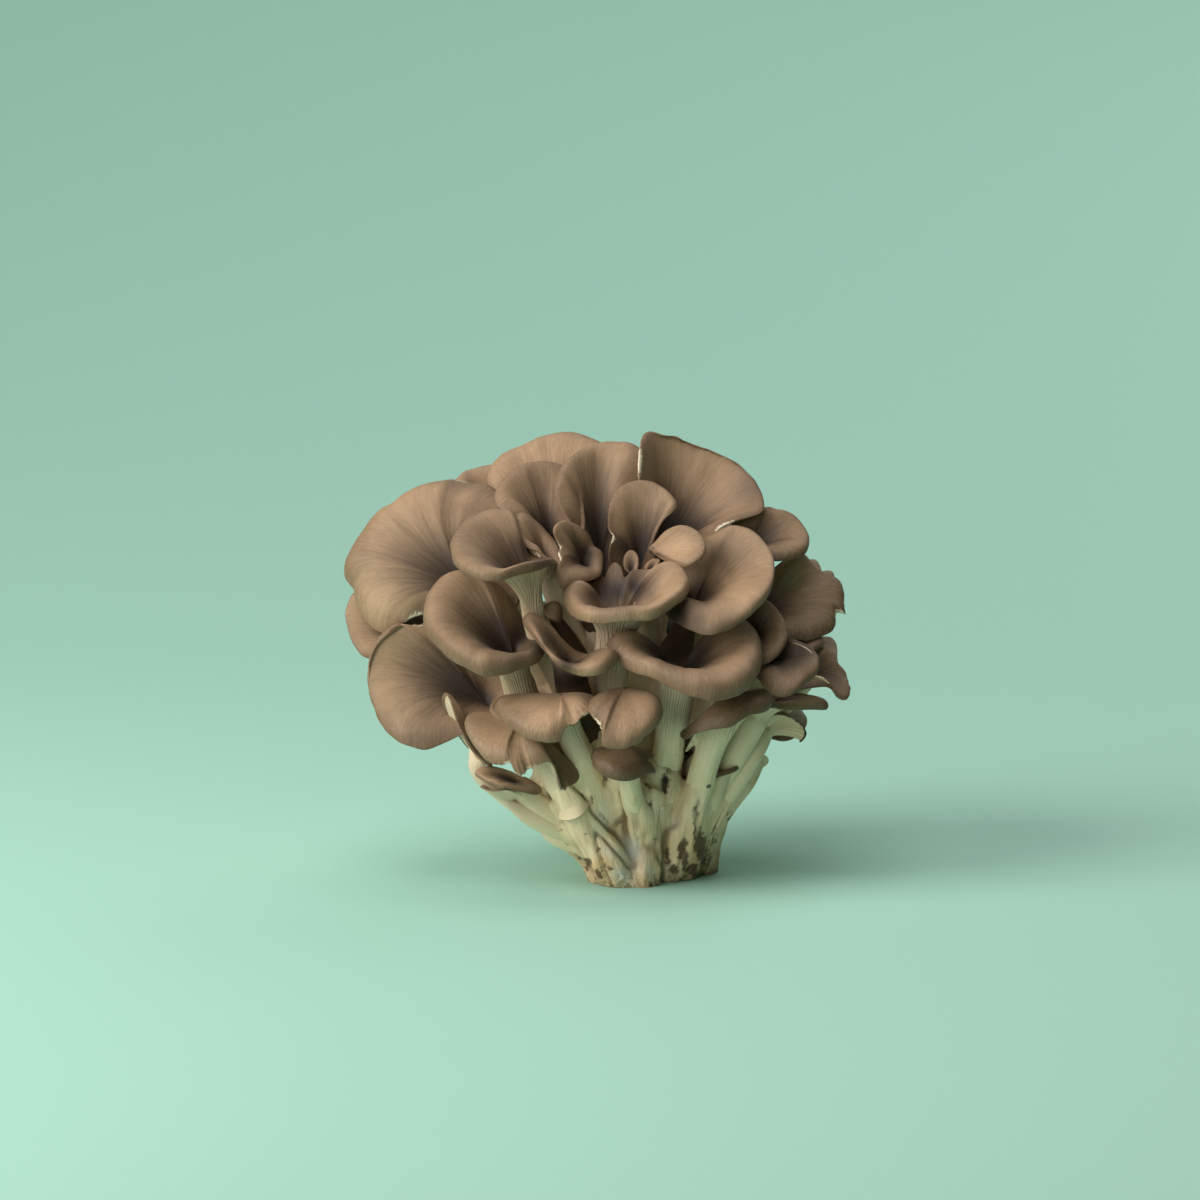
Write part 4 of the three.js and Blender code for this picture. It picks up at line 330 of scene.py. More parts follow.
          facing=[0.3, -0.25, 0.92], waves=[3, 3.5, 0.4]),
    entry("back_left_lower", [-55, 26, 74], [-44, 20, 58], joins=[-24, 14, 52], girth=[6.5, 6, 6],
          roll=13, deep=0.45, flesh=2, dish=[-71, 34, 86], across=[28, 27],
          facing=[0.25, -0.2, 0.95], waves=[4, 3, 1.1]),
    entry("back_left_low", [-46, 26, 51], [-36, 20, 37], joins=[-18, 10, 30], girth=[4.2, 5, 5.5],
          roll=10, deep=0.4, flesh=2, dish=[-58, 33, 57], across=[21, 20],
          facing=[0.1, -0.1, 0.99], waves=[3, 3, 2.2]),
    entry("back_crown_left", [-32, 34, 111], [-28, 24, 94], joins=[-12, 20, 70], girth=[6.5, 6, 6],
          roll=12, deep=0.45, dish=[-37, 48, 130], across=[24, 25], facing=[0.1, -0.35, 0.93],
          waves=[3, 3.5, 3.0]),
    entry("back_crown", [-7, 36, 112], [-6, 25, 94], joins=[-6, 22, 72], girth=[7, 6.5, 6.5],
          roll=14, deep=0.45, dish=[-6, 51, 130], across=[26, 26], facing=[0, -0.35, 0.94],
          waves=[4, 3, 4.0]),
    entry("back_crown_right", [19, 29, 105], [15, 20, 88], joins=[4, 16, 66], girth=[6.5, 6, 6],
          roll=12, deep=0.45, flesh=4, dish=[24, 43, 120], across=[24, 23],
          facing=[-0.15, -0.3, 0.94], waves=[3, 3, 5.2]),
    entry("back_right_upper", [32, 20, 90], [24, 13, 74], joins=[16, 10, 58], girth=[6.5, 6, 6],
          roll=12, deep=0.45, flesh=4, dish=[41, 31, 101], across=[22, 23],
          facing=[-0.3, -0.2, 0.93], waves=[4, 3, 0.9]),
    entry("back_right_mid", [33.8, 15.8, 70.2], [25.8, 11.5, 55.6], joins=[16, 11, 46],
          girth=[2.5, 6, 6], roll=3.6, deep=0.4, flesh=1.6, dish=[42, 28, 78], across=[22, 22],
          facing=[-0.2, -0.2, 0.96], waves=[3, 3, 2.6]),
    entry("back_right_low", [27, 16, 47], [20, 12, 34], joins=[13, 8, 26], girth=[6, 5.5, 5.5],
          roll=10, deep=0.4, flesh=4, dish=[34, 25, 53], across=[19, 19],
          facing=[-0.1, -0.15, 0.98], waves=[3, 2.6, 3.6]),
    entry("back_middle_left", [-30, 38, 83], [-25, 28, 66], joins=[-14, 20, 60], girth=[6.5, 6, 6],
          roll=13, deep=0.45, dish=[-35, 54, 92], across=[26, 25], facing=[0.1, -0.3, 0.95],
          waves=[4, 3, 5.0]),
    entry("back_middle", [2, 39, 85], [1, 28, 68], joins=[-2, 22, 56], girth=[5.5, 6.5, 6.5],
          roll=10, deep=0.45, dish=[4, 55, 94], across=[26, 26], facing=[0, -0.3, 0.95],
          waves=[3, 3.5, 1.8]),
    entry("back_low_left", [-19, 33, 53], [-16, 23, 39], joins=[-10, 16, 34], girth=[6, 5.5, 6],
          roll=11, deep=0.4, dish=[-24, 46, 58], across=[22, 22], facing=[0, -0.15, 0.99],
          waves=[3, 3, 0.2]),
    entry("back_low_right", [11, 33, 54], [8, 23, 40], joins=[4, 16, 34], girth=[4.6, 5.5, 6],
          roll=8, deep=0.4, dish=[16, 45, 59], across=[22, 21], facing=[-0.05, -0.15, 0.98],
          waves=[4, 2.6, 3.1]),
]


# ---- numbers ----------------------------------------------------------------------------

CURVE_STEPS = 12            # points between two corners of a rim


def place(points):
    """Layout points (across, depth, height) in the object's own frame, in millimetres."""
    p = np.asarray(points, float)
    wider = 1 + p[..., 1] / SIGHT_DISTANCE
    x = SIGHT_X + (p[..., 0] - SIGHT_X) * wider
    up = SIGHT_Z + (p[..., 2] - SIGHT_Z) * wider
    y = p[..., 1] * math.cos(LEAN) + up * math.sin(LEAN)
    z = -p[..., 1] * math.sin(LEAN) + up * math.cos(LEAN)
    return np.stack([x, y, z], -1)


def layout_of(points):
    """The way back from place(): across and height in the layout, in millimetres."""
    depth = points[..., 1] * math.cos(LEAN) - points[..., 2] * math.sin(LEAN)
    up = points[..., 1] * math.sin(LEAN) + points[..., 2] * math.cos(LEAN)
    wider = 1 + depth / SIGHT_DISTANCE
    return SIGHT_X + (points[..., 0] - SIGHT_X) / wider, SIGHT_Z + (up - SIGHT_Z) / wider


def unit(v):
    v = np.asarray(v, float)
    return v / np.maximum(np.linalg.norm(v, axis=-1, keepdims=True), 1e-9)


def mix(a, b, t):
    return a + (b - a) * t


def ease(low, high, value):
    """0 up to low, 1 from high, and smooth between them."""
    t = np.clip((np.asarray(value, float) - low) / (high - low), 0, 1)
    return t * t * (3 - 2 * t)


def drift(points, size, seed=0):
    """Smooth noise from -1 to 1 at each point, its lumps about size apart."""
    q = np.asarray(points, float) / size + 1000.37
    cell = np.floor(q).astype(np.int64)
    f = q - cell
    f = f * f * (3 - 2 * f)
    total = np.zeros(q.shape[:-1])
    for corner in range(8):
        step = np.array([corner & 1, corner >> 1 & 1, corner >> 2 & 1])
        at = cell + step
        h = at[..., 0] * 73856093 ^ at[..., 1] * 19349663 ^ at[..., 2] * 83492791
        h = (h ^ seed * 2654435761) & 0xFFFFFFFF
        h = (h ^ h >> 15) * 2246822519 & 0xFFFFFFFF
        h = (h ^ h >> 13) * 3266489917 & 0xFFFFFFFF
        value = ((h ^ h >> 16) & 0xFFFF) / 32767.5 - 1
        weight = np.prod(np.where(step, f, 1 - f), axis=-1)
        total += value * weight
    return total


def layers(points, size, seed=0, count=3):
    """drift() at several sizes, each half of the one before."""
    total = sum(drift(points, size / 2 ** k, seed + k) / 2 ** k for k in range(count))
    return total / (2 - 2 ** (1 - count))


def round_and_round(values, samples):
    """A smooth closed curve through values, sampled evenly by length in its first three."""
    v = np.asarray(values, float)
    t = (np.arange(CURVE_STEPS) / CURVE_STEPS)[None, :, None]
    p0, p1, p2, p3 = (np.roll(v, k, axis=0)[:, None, :] for k in (1, 0, -1, -2))
    curve = 0.5 * (2 * p1 + (p2 - p0) * t + (2 * p0 - 5 * p1 + 4 * p2 - p3) * t ** 2
                   + (3 * p1 - p0 - 3 * p2 + p3) * t ** 3)
    curve = curve.reshape(len(v) * CURVE_STEPS, -1)
    closed = np.vstack([curve, curve[:1]])
    gaps = np.linalg.norm(np.diff(closed[:, :3], axis=0), axis=1)
    along = np.concatenate([[0], np.cumsum(gaps)])
    want = np.arange(samples) / samples * along[-1]
    columns = [np.interp(want, along, closed[:, k]) for k in range(closed.shape[1])]
    return np.stack(columns, -1), along[-1]


def bow(a, b, c, t):
    """The curve from a to c that bends towards b."""
    return (1 - t) ** 2 * a + 2 * t * (1 - t) * b + t * t * c


def cubic(p0, p1, p2, p3, t):
    """The curve from p0 to p3 that sets off towards p1 and comes in from p2."""
    s = 1 - t
    return s ** 3 * p0 + 3 * s * s * t * p1 + 3 * s * t * t * p2 + t ** 3 * p3


def turns(count):
    """Angles evenly round a circle."""
    return np.arange(count) / count * 2 * math.pi


def turn_between(a, b):
    """The rotation matrix that takes unit vector a to unit vector b."""
    return np.array(Vector(a).rotation_difference(Vector(b)).to_matrix())


# ---- meshes -----------------------------------------------------------------------------

class Skin:
    """Rings of points joined into one closed skin, with notes: numbers stored at each point."""

    def __init__(self):
        self.points = []
        self.quads = []
        self.tris = []
        self.notes = {}
        self.count = 0
        self.last = None

    def add(self, points, notes):
        """Adds points that aren't joined to anything yet, and says which they are."""
        start = self.count
        self.points.append(points)
        for key, value in notes.items():
            shape = (len(points),) + np.shape(value)[1:]
            value = np.broadcast_to(np.asarray(value, float), shape)
            self.notes.setdefault(key, []).append(value)
        self.count += len(points)
        return np.arange(start, self.count)

    def ring(self, points, notes):
        """Adds a ring, or a single point, joined to the one before."""
        ids = self.add(points, notes)
        if self.last is not None:
            a, b = self.last, ids
            if len(a) == 1:
                self.tris.append(np.stack([np.full(len(b), a[0]), np.roll(b, -1), b], -1))
            elif len(b) == 1:
                self.tris.append(np.stack([a, np.roll(a, -1), np.full(len(a), b[0])], -1))
            else:
                self.quads.append(np.stack([a, np.roll(a, -1), np.roll(b, -1), b], -1))
        self.last = ids

    def mesh(self, name, flip=False):
        points, tris, quads = (np.vstack(kind) for kind in (self.points, self.tris, self.quads))
        if flip:
            tris, quads = tris[:, ::-1], quads[:, ::-1]
        notes = {key: np.concatenate(value) for key, value in self.notes.items()}
        return make_mesh(name, points, quads, tris, notes)


def make_mesh(name, points, quads, tris, notes):
    """A smooth-shaded object from arrays of millimetre points and faces."""
    mesh = bpy.data.meshes.new(name)
    corners = np.concatenate([quads.ravel(), tris.ravel()]).astype(np.int32)
    sizes = np.concatenate([np.full(len(quads), 4), np.full(len(tris), 3)])
    starts = np.concatenate([[0], np.cumsum(sizes)[:-1]]).astype(np.int32)
    mesh.vertices.add(len(points))
    mesh.vertices.foreach_set("co", (points * MM).astype(np.float32).ravel())
    mesh.loops.add(len(corners))
    mesh.loops.foreach_set("vertex_index", corners)
    mesh.polygons.add(len(sizes))
    mesh.polygons.foreach_set("loop_start", starts)
    mesh.polygons.foreach_set("use_smooth", np.ones(len(sizes), bool))
    mesh.update(calc_edges=True)
    mesh.validate()
    write_notes(mesh, notes)
    piece = bpy.data.objects.new(name, mesh)
    bpy.context.scene.collection.objects.link(piece)
    return piece


def write_notes(mesh, notes):
    """Stores numbers or vectors at the mesh's points, for its material to read."""
    for key, value in notes.items():
        kind, field = ("FLOAT_VECTOR", "vector") if value.ndim == 2 else ("FLOAT", "value")
        attribute = mesh.attributes.new(key, kind, "POINT")
        attribute.data.foreach_set(field, value.astype(np.float32).ravel())


# ---- fronds -----------------------------------------------------------------------------

# Where edges are torn and ragged: layout place across and height, reach along the edge and
# depth, in millimetres.
TEARS = {
    "lower_left_drape": [(-52, 39, 5, 1.6), (-44, 36, 4, 2.2), (-37, 30, 5, 2.6),
                         (-31, 25, 4, 2.2)],
    "front_wide_cap_left": [(-24, 56, 4, 1.8)],
    "front_wide_cap_right": [(-23, 54, 4, 2.2)],
    "top_right_fan": [(-6.5, 150, 6, 1.0), (24, 127, 5, 1.6)],
    "big_left_fan": [(-72, 140, 5, 1.4), (-88, 93, 4, 1.2)],
    "left_lower_fan": [(-88, 93, 5, 1.4), (-70, 47, 4, 1.4)],
    "far_right_fan": [(66, 95, 4, 1.8)],
    "far_right_tongue": [(66, 95, 4, 1.8), (67, 68, 4, 1.5)],
    "front_right_broad": [(-14, 80, 3, 0.8)],
    "right_curled_frond": [(50, 55, 4, 1.6)],
    "lower_left_shelf_upper": [(-50, 40, 5, 1.8)],
    "lower_left_shelf_lower": [(-48, 33, 5, 1.8)],
    "lowest_left_stub": [(-46, 22, 4, 1.5)],
    "heart_spoon": [(-17, 123, 2.2, 0.8)],
    "ruffled_heart": [(-36, 117, 4, 0.9)],
}
# Painted shade, laid down in the throats and folds and on faces turned from the light: layout place
# across and height, reach in millimetres, and strength.
PAINTED_SHADES = {
    "front_centre_funnel": [(-15, 103, 8, 1), (-9, 105, 6, 1), (-22, 102, 5, 0.9)],
    "left_lower_funnel": [(-50, 87, 7, 1), (-44, 84, 5, 1), (-58, 92, 5, 0.5)],
    "right_centre_ear": [(7, 96, 8, 1), (4, 103, 6, 0.8), (14, 93, 5, 0.6), (24, 91, 7, 0.45)],
    "heart_spoon": [(-12, 119, 6, 0.9), (-5, 119, 6, 0.9)],
    "left_upper_funnel": [(-47, 119, 6, 0.9), (-42, 116, 5, 0.9)],
    "upper_centre_fan": [(-24, 122, 9, 0.9), (-18, 126, 7, 0.9)],
    "upper_left_fan": [(-40, 124, 8, 0.8)],
    "top_right_fan": [(1, 126, 9, 0.9), (9, 122, 8, 0.8), (33, 140, 8, 0.55)],
    "left_lower_fan": [(-80, 54, 12, 0.3), (-70, 66, 12, 0.35)],
    "right_round_cap": [(52, 82, 9, 0.8)],
    "ruffled_heart": [(-26, 117, 3.5, 1)],
    "front_right_broad": [(6, 83, 7, 0.9), (14, 82, 5, 0.7)],
    "centre_left_wave": [(-33, 77, 5, 0.9), (-40, 84, 4, 0.5)],
    "lowest_left_stub": [(-47, 22, 4, 0.85)],
    "small_knob": [(-35, 93, 4, 0.4)],
    "right_small_round": [(24, 46, 9, 0.7)],
    "right_curled_frond": [(52, 51, 4, 0.9), (37, 51, 6, 0.6), (45, 55, 4, 0.4)],
}
# Painted light: pale patches where light falls brightest, given in the same way.
PAINTED_LIGHT_PATCHES = {
    "right_centre_ear": [(24, 107, 9, 1), (30, 101, 6, 0.6)],
    "front_centre_funnel": [(-24, 97, 5, 0.8), (-15, 95, 6, 1), (-5, 96, 6, 1), (3, 102, 6, 0.8)],
    "top_left_fan": [(-45, 150, 10, 1), (-54, 146, 8, 1), (-36, 152, 6, 0.8)],
    "front_wide_cap_left": [(-32, 58, 8, 1), (-22, 58, 7, 1), (-42, 58, 6, 1)],
    "front_wide_cap_right": [(-10, 56, 8, 0.6)],
    "heart_tongue": [(8, 119, 6, 0.9)],
    "top_right_fan": [(14, 139, 9, 0.4)],
    "far_right_fan": [(50, 105, 9, 0.9)],
    "centre_left_wave": [(-38, 78, 5, 0.8), (-32, 79, 4, 0.6), (-27, 73, 6, 0.9)],
    "big_left_fan": [(-100, 96, 10, 0.7), (-84, 128, 10, 0.4)],
    "front_right_broad": [(27, 86, 8, 0.7), (-4, 76, 6, 0.5)],
    "left_upper_funnel": [(-66, 118, 5, 0.5)],
    "upper_left_fan": [(-56, 136, 5, 0.4)],
    "lower_left_drape": [(-62, 52, 7, 0.7), (-50, 44, 8, 0.5)],
}
# Small inner pieces whose undersides and stems are as brown as their caps.
BROWN_ALL_OVER = {"heart_tongue", "heart_spoon", "heart_bud_left", "heart_bud_right",
                  "small_knob", "ruffled_heart", "centre_left_wave", "right_centre_ear"}
# A cup that is as pale inside as its stem, with a dark edge.
PALE_ALL_OVER = {"left_collar_cup"}
# How far out the underside turns brown, from 0 to 1, where it isn't just inside the rim.
BROWN_MARGIN = {"left_lower_fan": 0.7}
# Caps whose dents stay at the rim, and how much they are evened out inside it.
SMOOTHED = {"lower_left_drape": 14, "front_wide_cap_right": 6}
# Caps that sit low or at the right, away from the light, drawn with a darker copy of the cap skin:
# painted shade.
PAINTED_SHADE_CAPS = {"right_shaded_cap", "far_right_fan", "upper_right_cap", "right_round_cap",
        "right_dark_frill", "far_right_tongue", "right_small_round", "right_under_cap",
        "right_curled_frond", "right_stub", "front_small_cap", "right_lower_cap"}
# Fronds whose gills are modelled; on the others the material draws them.
GILLED = {"front_centre_funnel", "left_upper_funnel", "left_lower_funnel",
          "front_wide_cap_left", "front_wide_cap_right", "front_right_broad",
          "lower_left_drape", "right_lower_cap", "front_small_cap"}

# Grids: spacing round the rim and up the stem in millimetres, and rows in each of the rest.
FINE_GRID = {"round": 0.45, "stem": 1.6, "flare": 12, "gills": 20, "top": 24}
PLAIN_GRID = {"round": 1.4, "stem": 3.2, "flare": 7, "gills": 10, "top": 14}
FEWEST_ROUND, MOST_ROUND = 36, 400
EDGE_ANGLES = np.radians([-55, -18, 18, 55])        # rings that go round the cap's edge
DISH_POINTS = 11            # corners of a simple dish's rim
CAP_FLESH = 2.6             # thickness of a cap near its middle, in millimetres
EDGE_FLESH = 0.9            # and at its edge
MODEL_STEPS = 60            # rows on which the way square to a cap's top is found
GILL_START = 0.35           # how far out the gills leave the flare of the stem
GILL_SPACING = 4.4          # at the rim, in millimetres
FIBRE_RUN = 30              # length that the fibres are drawn at, from throat to rim


def wavy_rim(frond):
    """The rim of a simple dish: an oval round its middle, a little wavy and rolled down."""
    throat, dish = np.array(frond["throat"], float), np.array(frond["dish"], float)
    normal = unit(frond["facing"])
    out = dish - throat
    out = unit(out - normal * out.dot(normal))
    along = np.cross(normal, out)
    count, height, start = frond["waves"]
    across = frond["across"]
    points = []
    for angle in turns(DISH_POINTS):
        wave = math.sin(count * angle + start)
        wide = 1 + 0.1 * math.sin((count + 1) * angle + 2 * start) + 0.06 * wave
        point = (dish + out * across[0] * wide * math.cos(angle)
                 + along * across[1] * wide * math.sin(angle) + normal * height * wave)
        points.append([*point, 65 + 25 * math.cos(angle) - 12 * wave])
    return points


class Form:
    """A frond's throat, axis and rim, seen along the axis."""

    def __init__(self, frond, seed):
        self.frond = frond
        self.seed = seed
        self.gilled = frond["name"] in GILLED
        self.grid = FINE_GRID if self.gilled else PLAIN_GRID
        self.throat = place(frond["throat"])
        self.axis = unit(self.throat - place(frond["neck"]))
        self.side = unit(np.array([1.0, 0, 0]) - self.axis * self.axis[0])
        self.back = np.cross(self.axis, self.side)
        spokes = []
        for across, depth, level, curl in frond.get("rim") or wavy_rim(frond):
            d = place([across, depth, level]) - self.throat
            spokes.append([d.dot(self.side), d.dot(self.back), d.dot(self.axis), curl,
                           across, level])
        self.corners = np.array(spokes)
        x, y = self.corners[:, 0], self.corners[:, 1]
        self.spin = math.copysign(1, np.sum(x * np.roll(y, -1) - y * np.roll(x, -1)))
        self.sample()

    def sample(self):
        """The rim as evenly spaced points, with small lobes and tears along it."""
        length = round_and_round(self.corners, 8)[1]
        count = 4 * round(length / self.grid["round"] / 4)
        self.n = int(np.clip(count, FEWEST_ROUND, MOST_ROUND))
        rim, self.length = round_and_round(self.corners, self.n)
        self.x, self.y, self.height, self.curl, across, level = rim.T
        self.turn = turns(self.n)
        self.round = np.stack([np.cos(self.turn), np.sin(self.turn)], -1) * self.length / 6.283
        spot = np.column_stack([self.round, np.full(self.n, 7.0 * self.seed)])
        lobe = 0.45 * drift(spot, 9, self.seed) + 0.3 * drift(spot, 3.2, self.seed + 5)
        reach = np.hypot(self.x, self.y)
        size = np.minimum(1, reach / 12) * self.frond.get("crinkle", 1)
        grow = 1 + lobe * 0.6 * size / np.maximum(reach, 4)
        self.x, self.y = self.x * grow, self.y * grow
        self.height = self.height + size * 0.5 * drift(spot, 7, self.seed + 9)
        self.tear = np.zeros(self.n)
        ragged = 0.3 + np.abs(drift(spot, 1.6, self.seed + 13)) + 0.5 * np.abs(drift(spot, 0.8, 3))
        far = np.sqrt(self.x ** 2 + self.y ** 2 + self.height ** 2)
        for at, level_at, wide, deep in TEARS.get(self.frond["name"], []):
            near = np.exp(-(((across - at) ** 2 + (level - level_at) ** 2) / wide ** 2))
            self.tear = np.maximum(self.tear, near)
            cut = 1 - np.minimum(near * deep * ragged / np.maximum(far, 4), 0.4)
            self.x, self.y, self.height = self.x * cut, self.y * cut, self.height * cut
        self.reach = np.maximum(np.hypot(self.x, self.y), 1e-6)
        self.gill_count = max(14, round(self.length / GILL_SPACING))
        times = SMOOTHED.get(self.frond["name"], 0) * self.n // 100
        calm = smooth_round(np.stack([self.reach, self.height])[..., None], times)
        self.calm_reach, self.calm_height = calm[..., 0]
        self.outward = (self.side * (self.x / self.reach)[:, None]
                        + self.back * (self.y / self.reach)[:, None])

    def spots(self, level):
        """Where noise is read: by place round the frond, and by level."""
        return np.stack(np.broadcast_arrays(*self.round.T[:, None], level), -1)

    def top(self, v):
        """The top surface as rings, from the throat (v = 0) to the rim (v = 1)."""
        v = np.asarray(v, float)[:, None]
        out, height, curl = self.reach, self.height, np.radians(self.curl)
        lean = math.radians(self.frond.get("open", 0))
        dip = self.frond["deep"] * np.maximum(out, 0.6 * np.abs(height))
        roll = np.minimum(self.frond["roll"], 0.5 * np.hypot(out, height))
        roll = np.minimum(roll, 0.75 * out / np.maximum(np.cos(curl), 0.05))
        r = cubic(0, dip * math.sin(lean), self.calm_reach - roll * np.cos(curl), out, v)
        h = cubic(0, dip * math.cos(lean), self.calm_height + roll * np.sin(curl), height, v)
        return self.throat + self.outward[None] * r[..., None] + self.axis * h[..., None]


def smooth_round(rings, times=1):
    """Evens out each ring a little."""
    for _ in range(times):
        rings = 0.5 * rings + 0.25 * (np.roll(rings, 1, axis=1) + np.roll(rings, -1, axis=1))
    return rings


def gill_shape(form, v):
    """How deep the groove between the gills is, 0 on a gill and 1 between two."""
    if not form.gilled:
        return np.zeros((len(v), form.n))
    v = np.asarray(v, float)[:, None]
    spot = form.spots(v * 26)
    sway = 0.55 * drift(spot, 10, form.seed + 21) + 0.3 * drift(spot, 4, form.seed + 22)
    phase = form.gill_count * form.turn[None, :] + sway * 2.4
    groove = np.abs(np.sin(phase / 2)) ** 5
    between = np.abs(np.cos(phase / 2)) ** 5 * ease(0.2, 0.4, v)
    uneven = 0.75 + 0.35 * drift(spot, 6, form.seed + 23)
    return np.maximum(groove, between) * uneven


def patches_at(table, frond, points):
    """How strongly each point lies in one of the frond's patches in a table. 0 to 1."""
    across, level = layout_of(points)
    total = np.zeros(points.shape[:-1])
    for at, level_at, reach, strength in table.get(frond["name"], []):
        far = ((across - at) ** 2 + (level - level_at) ** 2) / reach ** 2
        total = np.maximum(total, strength * np.exp(-far))
    return total


def build_frond(frond, seed):
    """One frond as a closed skin: up the stem, out under the gills, over the rim and in."""
    form = Form(frond, seed)
    grid = form.grid
    flesh = frond.get("flesh", CAP_FLESH)
    edge = min(EDGE_FLESH, 0.7 * flesh)
    girth = frond["girth"][0]
    neck = np.minimum(girth, np.maximum(0.85 * form.reach, 0.8))

    # the way square to the top, on even rows
    model = form.top(np.linspace(0, 1, MODEL_STEPS + 1))
    along = np.roll(model, -1, axis=1) - np.roll(model, 1, axis=1)
    square = unit(np.cross(along, unit(np.gradient(model, axis=0)))) * form.spin
    square = smooth_round(square, max(2, form.n // 80))

    def square_to(at):
        """The way square to the top, at rows at."""
        pick = np.clip(at, 0, 1) * MODEL_STEPS
        low = np.clip(np.floor(pick).astype(int), 0, MODEL_STEPS - 1)
        return mix(square[low], square[low + 1], (pick - low)[:, None, None])

    def under(at):
        """The underside at rows at, its direction, and how thick the flesh is there."""
        at = np.asarray(at, float)
        inner = 1 - at[:, None]
        way = unit(form.outward[None] * 0.5 * inner[..., None] + square_to(at))
        thick = edge + (flesh - edge) * inner ** 0.6 + (neck[None] - flesh) * inner ** 3
        return form.top(at) + way * thick[..., None], way, thick

    # the top, with low swells
    top_v = (1 - (1 - np.linspace(0, 1, grid["top"] + 1)) ** 1.25)[1:]
    ripple = form.spots(top_v[:, None] * 14 + 3.0 * seed)
    swell = drift(ripple, 11, seed + 2) * 0.5 + drift(ripple, 4.5, seed + 3) * 0.22
    lift = swell * (ease(0.15, 0.8, top_v) * min(1, form.reach.mean() / 18))[:, None]
    top = form.top(top_v) - unit(square_to(top_v)) * lift[..., None]

    # the flare from the stem's top out to the gills
    close = np.clip(2.2 - form.reach / girth, 0, 1)
    open_sine = math.sin(math.radians(frond.get("open", 0)))
    sink = np.maximum(neck * open_sine, close * (0.8 * neck - form.height))
    collar = form.throat + form.outward * neck[:, None] - form.axis * sink[:, None]
    step = 0.04
    far, beyond = under([GILL_START, GILL_START + step])[0]
    slope = (beyond - far) / step * GILL_START
    span = np.linalg.norm(far - collar, axis=1)[:, None]
    slope = unit(slope) * np.minimum(np.linalg.norm(slope, axis=1)[:, None], 1.6 * span)
    t = np.linspace(0, 1, grid["flare"] + 1)[1:-1][:, None, None]
    flare = ((2 * t ** 3 - 3 * t ** 2 + 1) * collar
             + (t ** 3 - 2 * t ** 2 + t) * (form.axis * span)
             + (-2 * t ** 3 + 3 * t ** 2) * far + (t ** 3 - t ** 2) * slope)
    flare_v = t[:, 0, 0] * GILL_START
    flare_groove = gill_shape(form, flare_v)
    into = unit(form.outward * 0.8 + form.axis * 0.2)
    depth = mix(0.6, 0.9, t[:, 0, 0])[:, None] * np.minimum(1, neck / 4)[None]
    flare = flare - into[None] * (flare_groove * depth)[..., None]

    # the gills
    gill_v = 1 - (1 - np.linspace(0, 1, grid["gills"])) ** 1.2
    gill_v = GILL_START + (1 - GILL_START) * gill_v
    gills, way, thick = under(gill_v)
    slack = ease(1.0, 0.9, gill_v)[:, None]
    groove = gill_shape(form, gill_v)
    gills = gills - way * (groove * np.minimum(0.45 * thick, 1.0) * slack)[..., None]

    skin = Skin()

    def lay(points, out, run, under=0.0, groove=0.0, tear=0.0, shade=0.0, painted_light=0.0):
        """Adds a ring, or one point. run is how far along the fibres it is."""
        around = form.round if len(points) > 1 else np.zeros((1, 2))
        fibre = np.column_stack([around, np.full(len(points), run)])
        skin.ring(points, {"out": out, "under": under, "groove": groove, "tear": tear,
                           "shade": shade, "painted_light": painted_light, "fibre": fibre})

    # up the stem and its flare
    pale = 0.0 if frond["name"] in BROWN_ALL_OVER else 1.0
    lay_stem(form, neck, sink, pale, lay)
    collar_groove = gill_shape(form, [0.0])[0]
    lay(collar - form.outward * (collar_groove * 0.6)[:, None], 0.0, 0, pale, collar_groove)
    for ring, v, dent in zip(flare, flare_v, flare_groove):
        lay(ring, v, FIBRE_RUN * v, pale, dent)
    # out under the gills, brown again near the rim
    all_pale = frond["name"] in PALE_ALL_OVER
    margin = BROWN_MARGIN.get(frond["name"], max(0.88, 1 - 1.5 / form.reach.mean()))
    for k, v in enumerate(gill_v):
        lay(gills[k], v, FIBRE_RUN * v, pale * (1.0 if all_pale else float(ease(1.0, margin, v))),
            groove[k] * slack[k], form.tear * float(ease(0.88, 1.0, v)))
    # round the edge
    middle = 0.5 * (gills[-1] + top[-1])
    half = 0.5 * (top[-1] - gills[-1])
    forward = unit(top[-1] - top[-3]) * np.linalg.norm(half, axis=1)[:, None] * 0.8
    for angle in EDGE_ANGLES:
        lay(middle + half * math.sin(angle) + forward * math.cos(angle), 1.0, FIBRE_RUN,
            tear=form.tear, shade=float(all_pale))
    # in over the top, with patches of painted shade and painted light
    draped = 0.7 if frond.get("open", 0) >= 90 else 0
    for ring, v in zip(top[::-1], top_v[::-1]):
        lay(ring, -0.65 if all_pale else draped + (1 - draped) * v, FIBRE_RUN * v,
            under=float(all_pale), tear=form.tear * float(ease(0.93, 1.0, v)),
            shade=patches_at(PAINTED_SHADES, frond, ring), painted_light=patches_at(PAINTED_LIGHT_PATCHES, frond, ring))
    lay(form.throat[None], 0, 0)
    skin.notes["comb"] = [np.full(skin.count, 3.0 * form.gill_count)]
    return skin.mesh(frond["name"] + "_frond", flip=form.spin > 0)


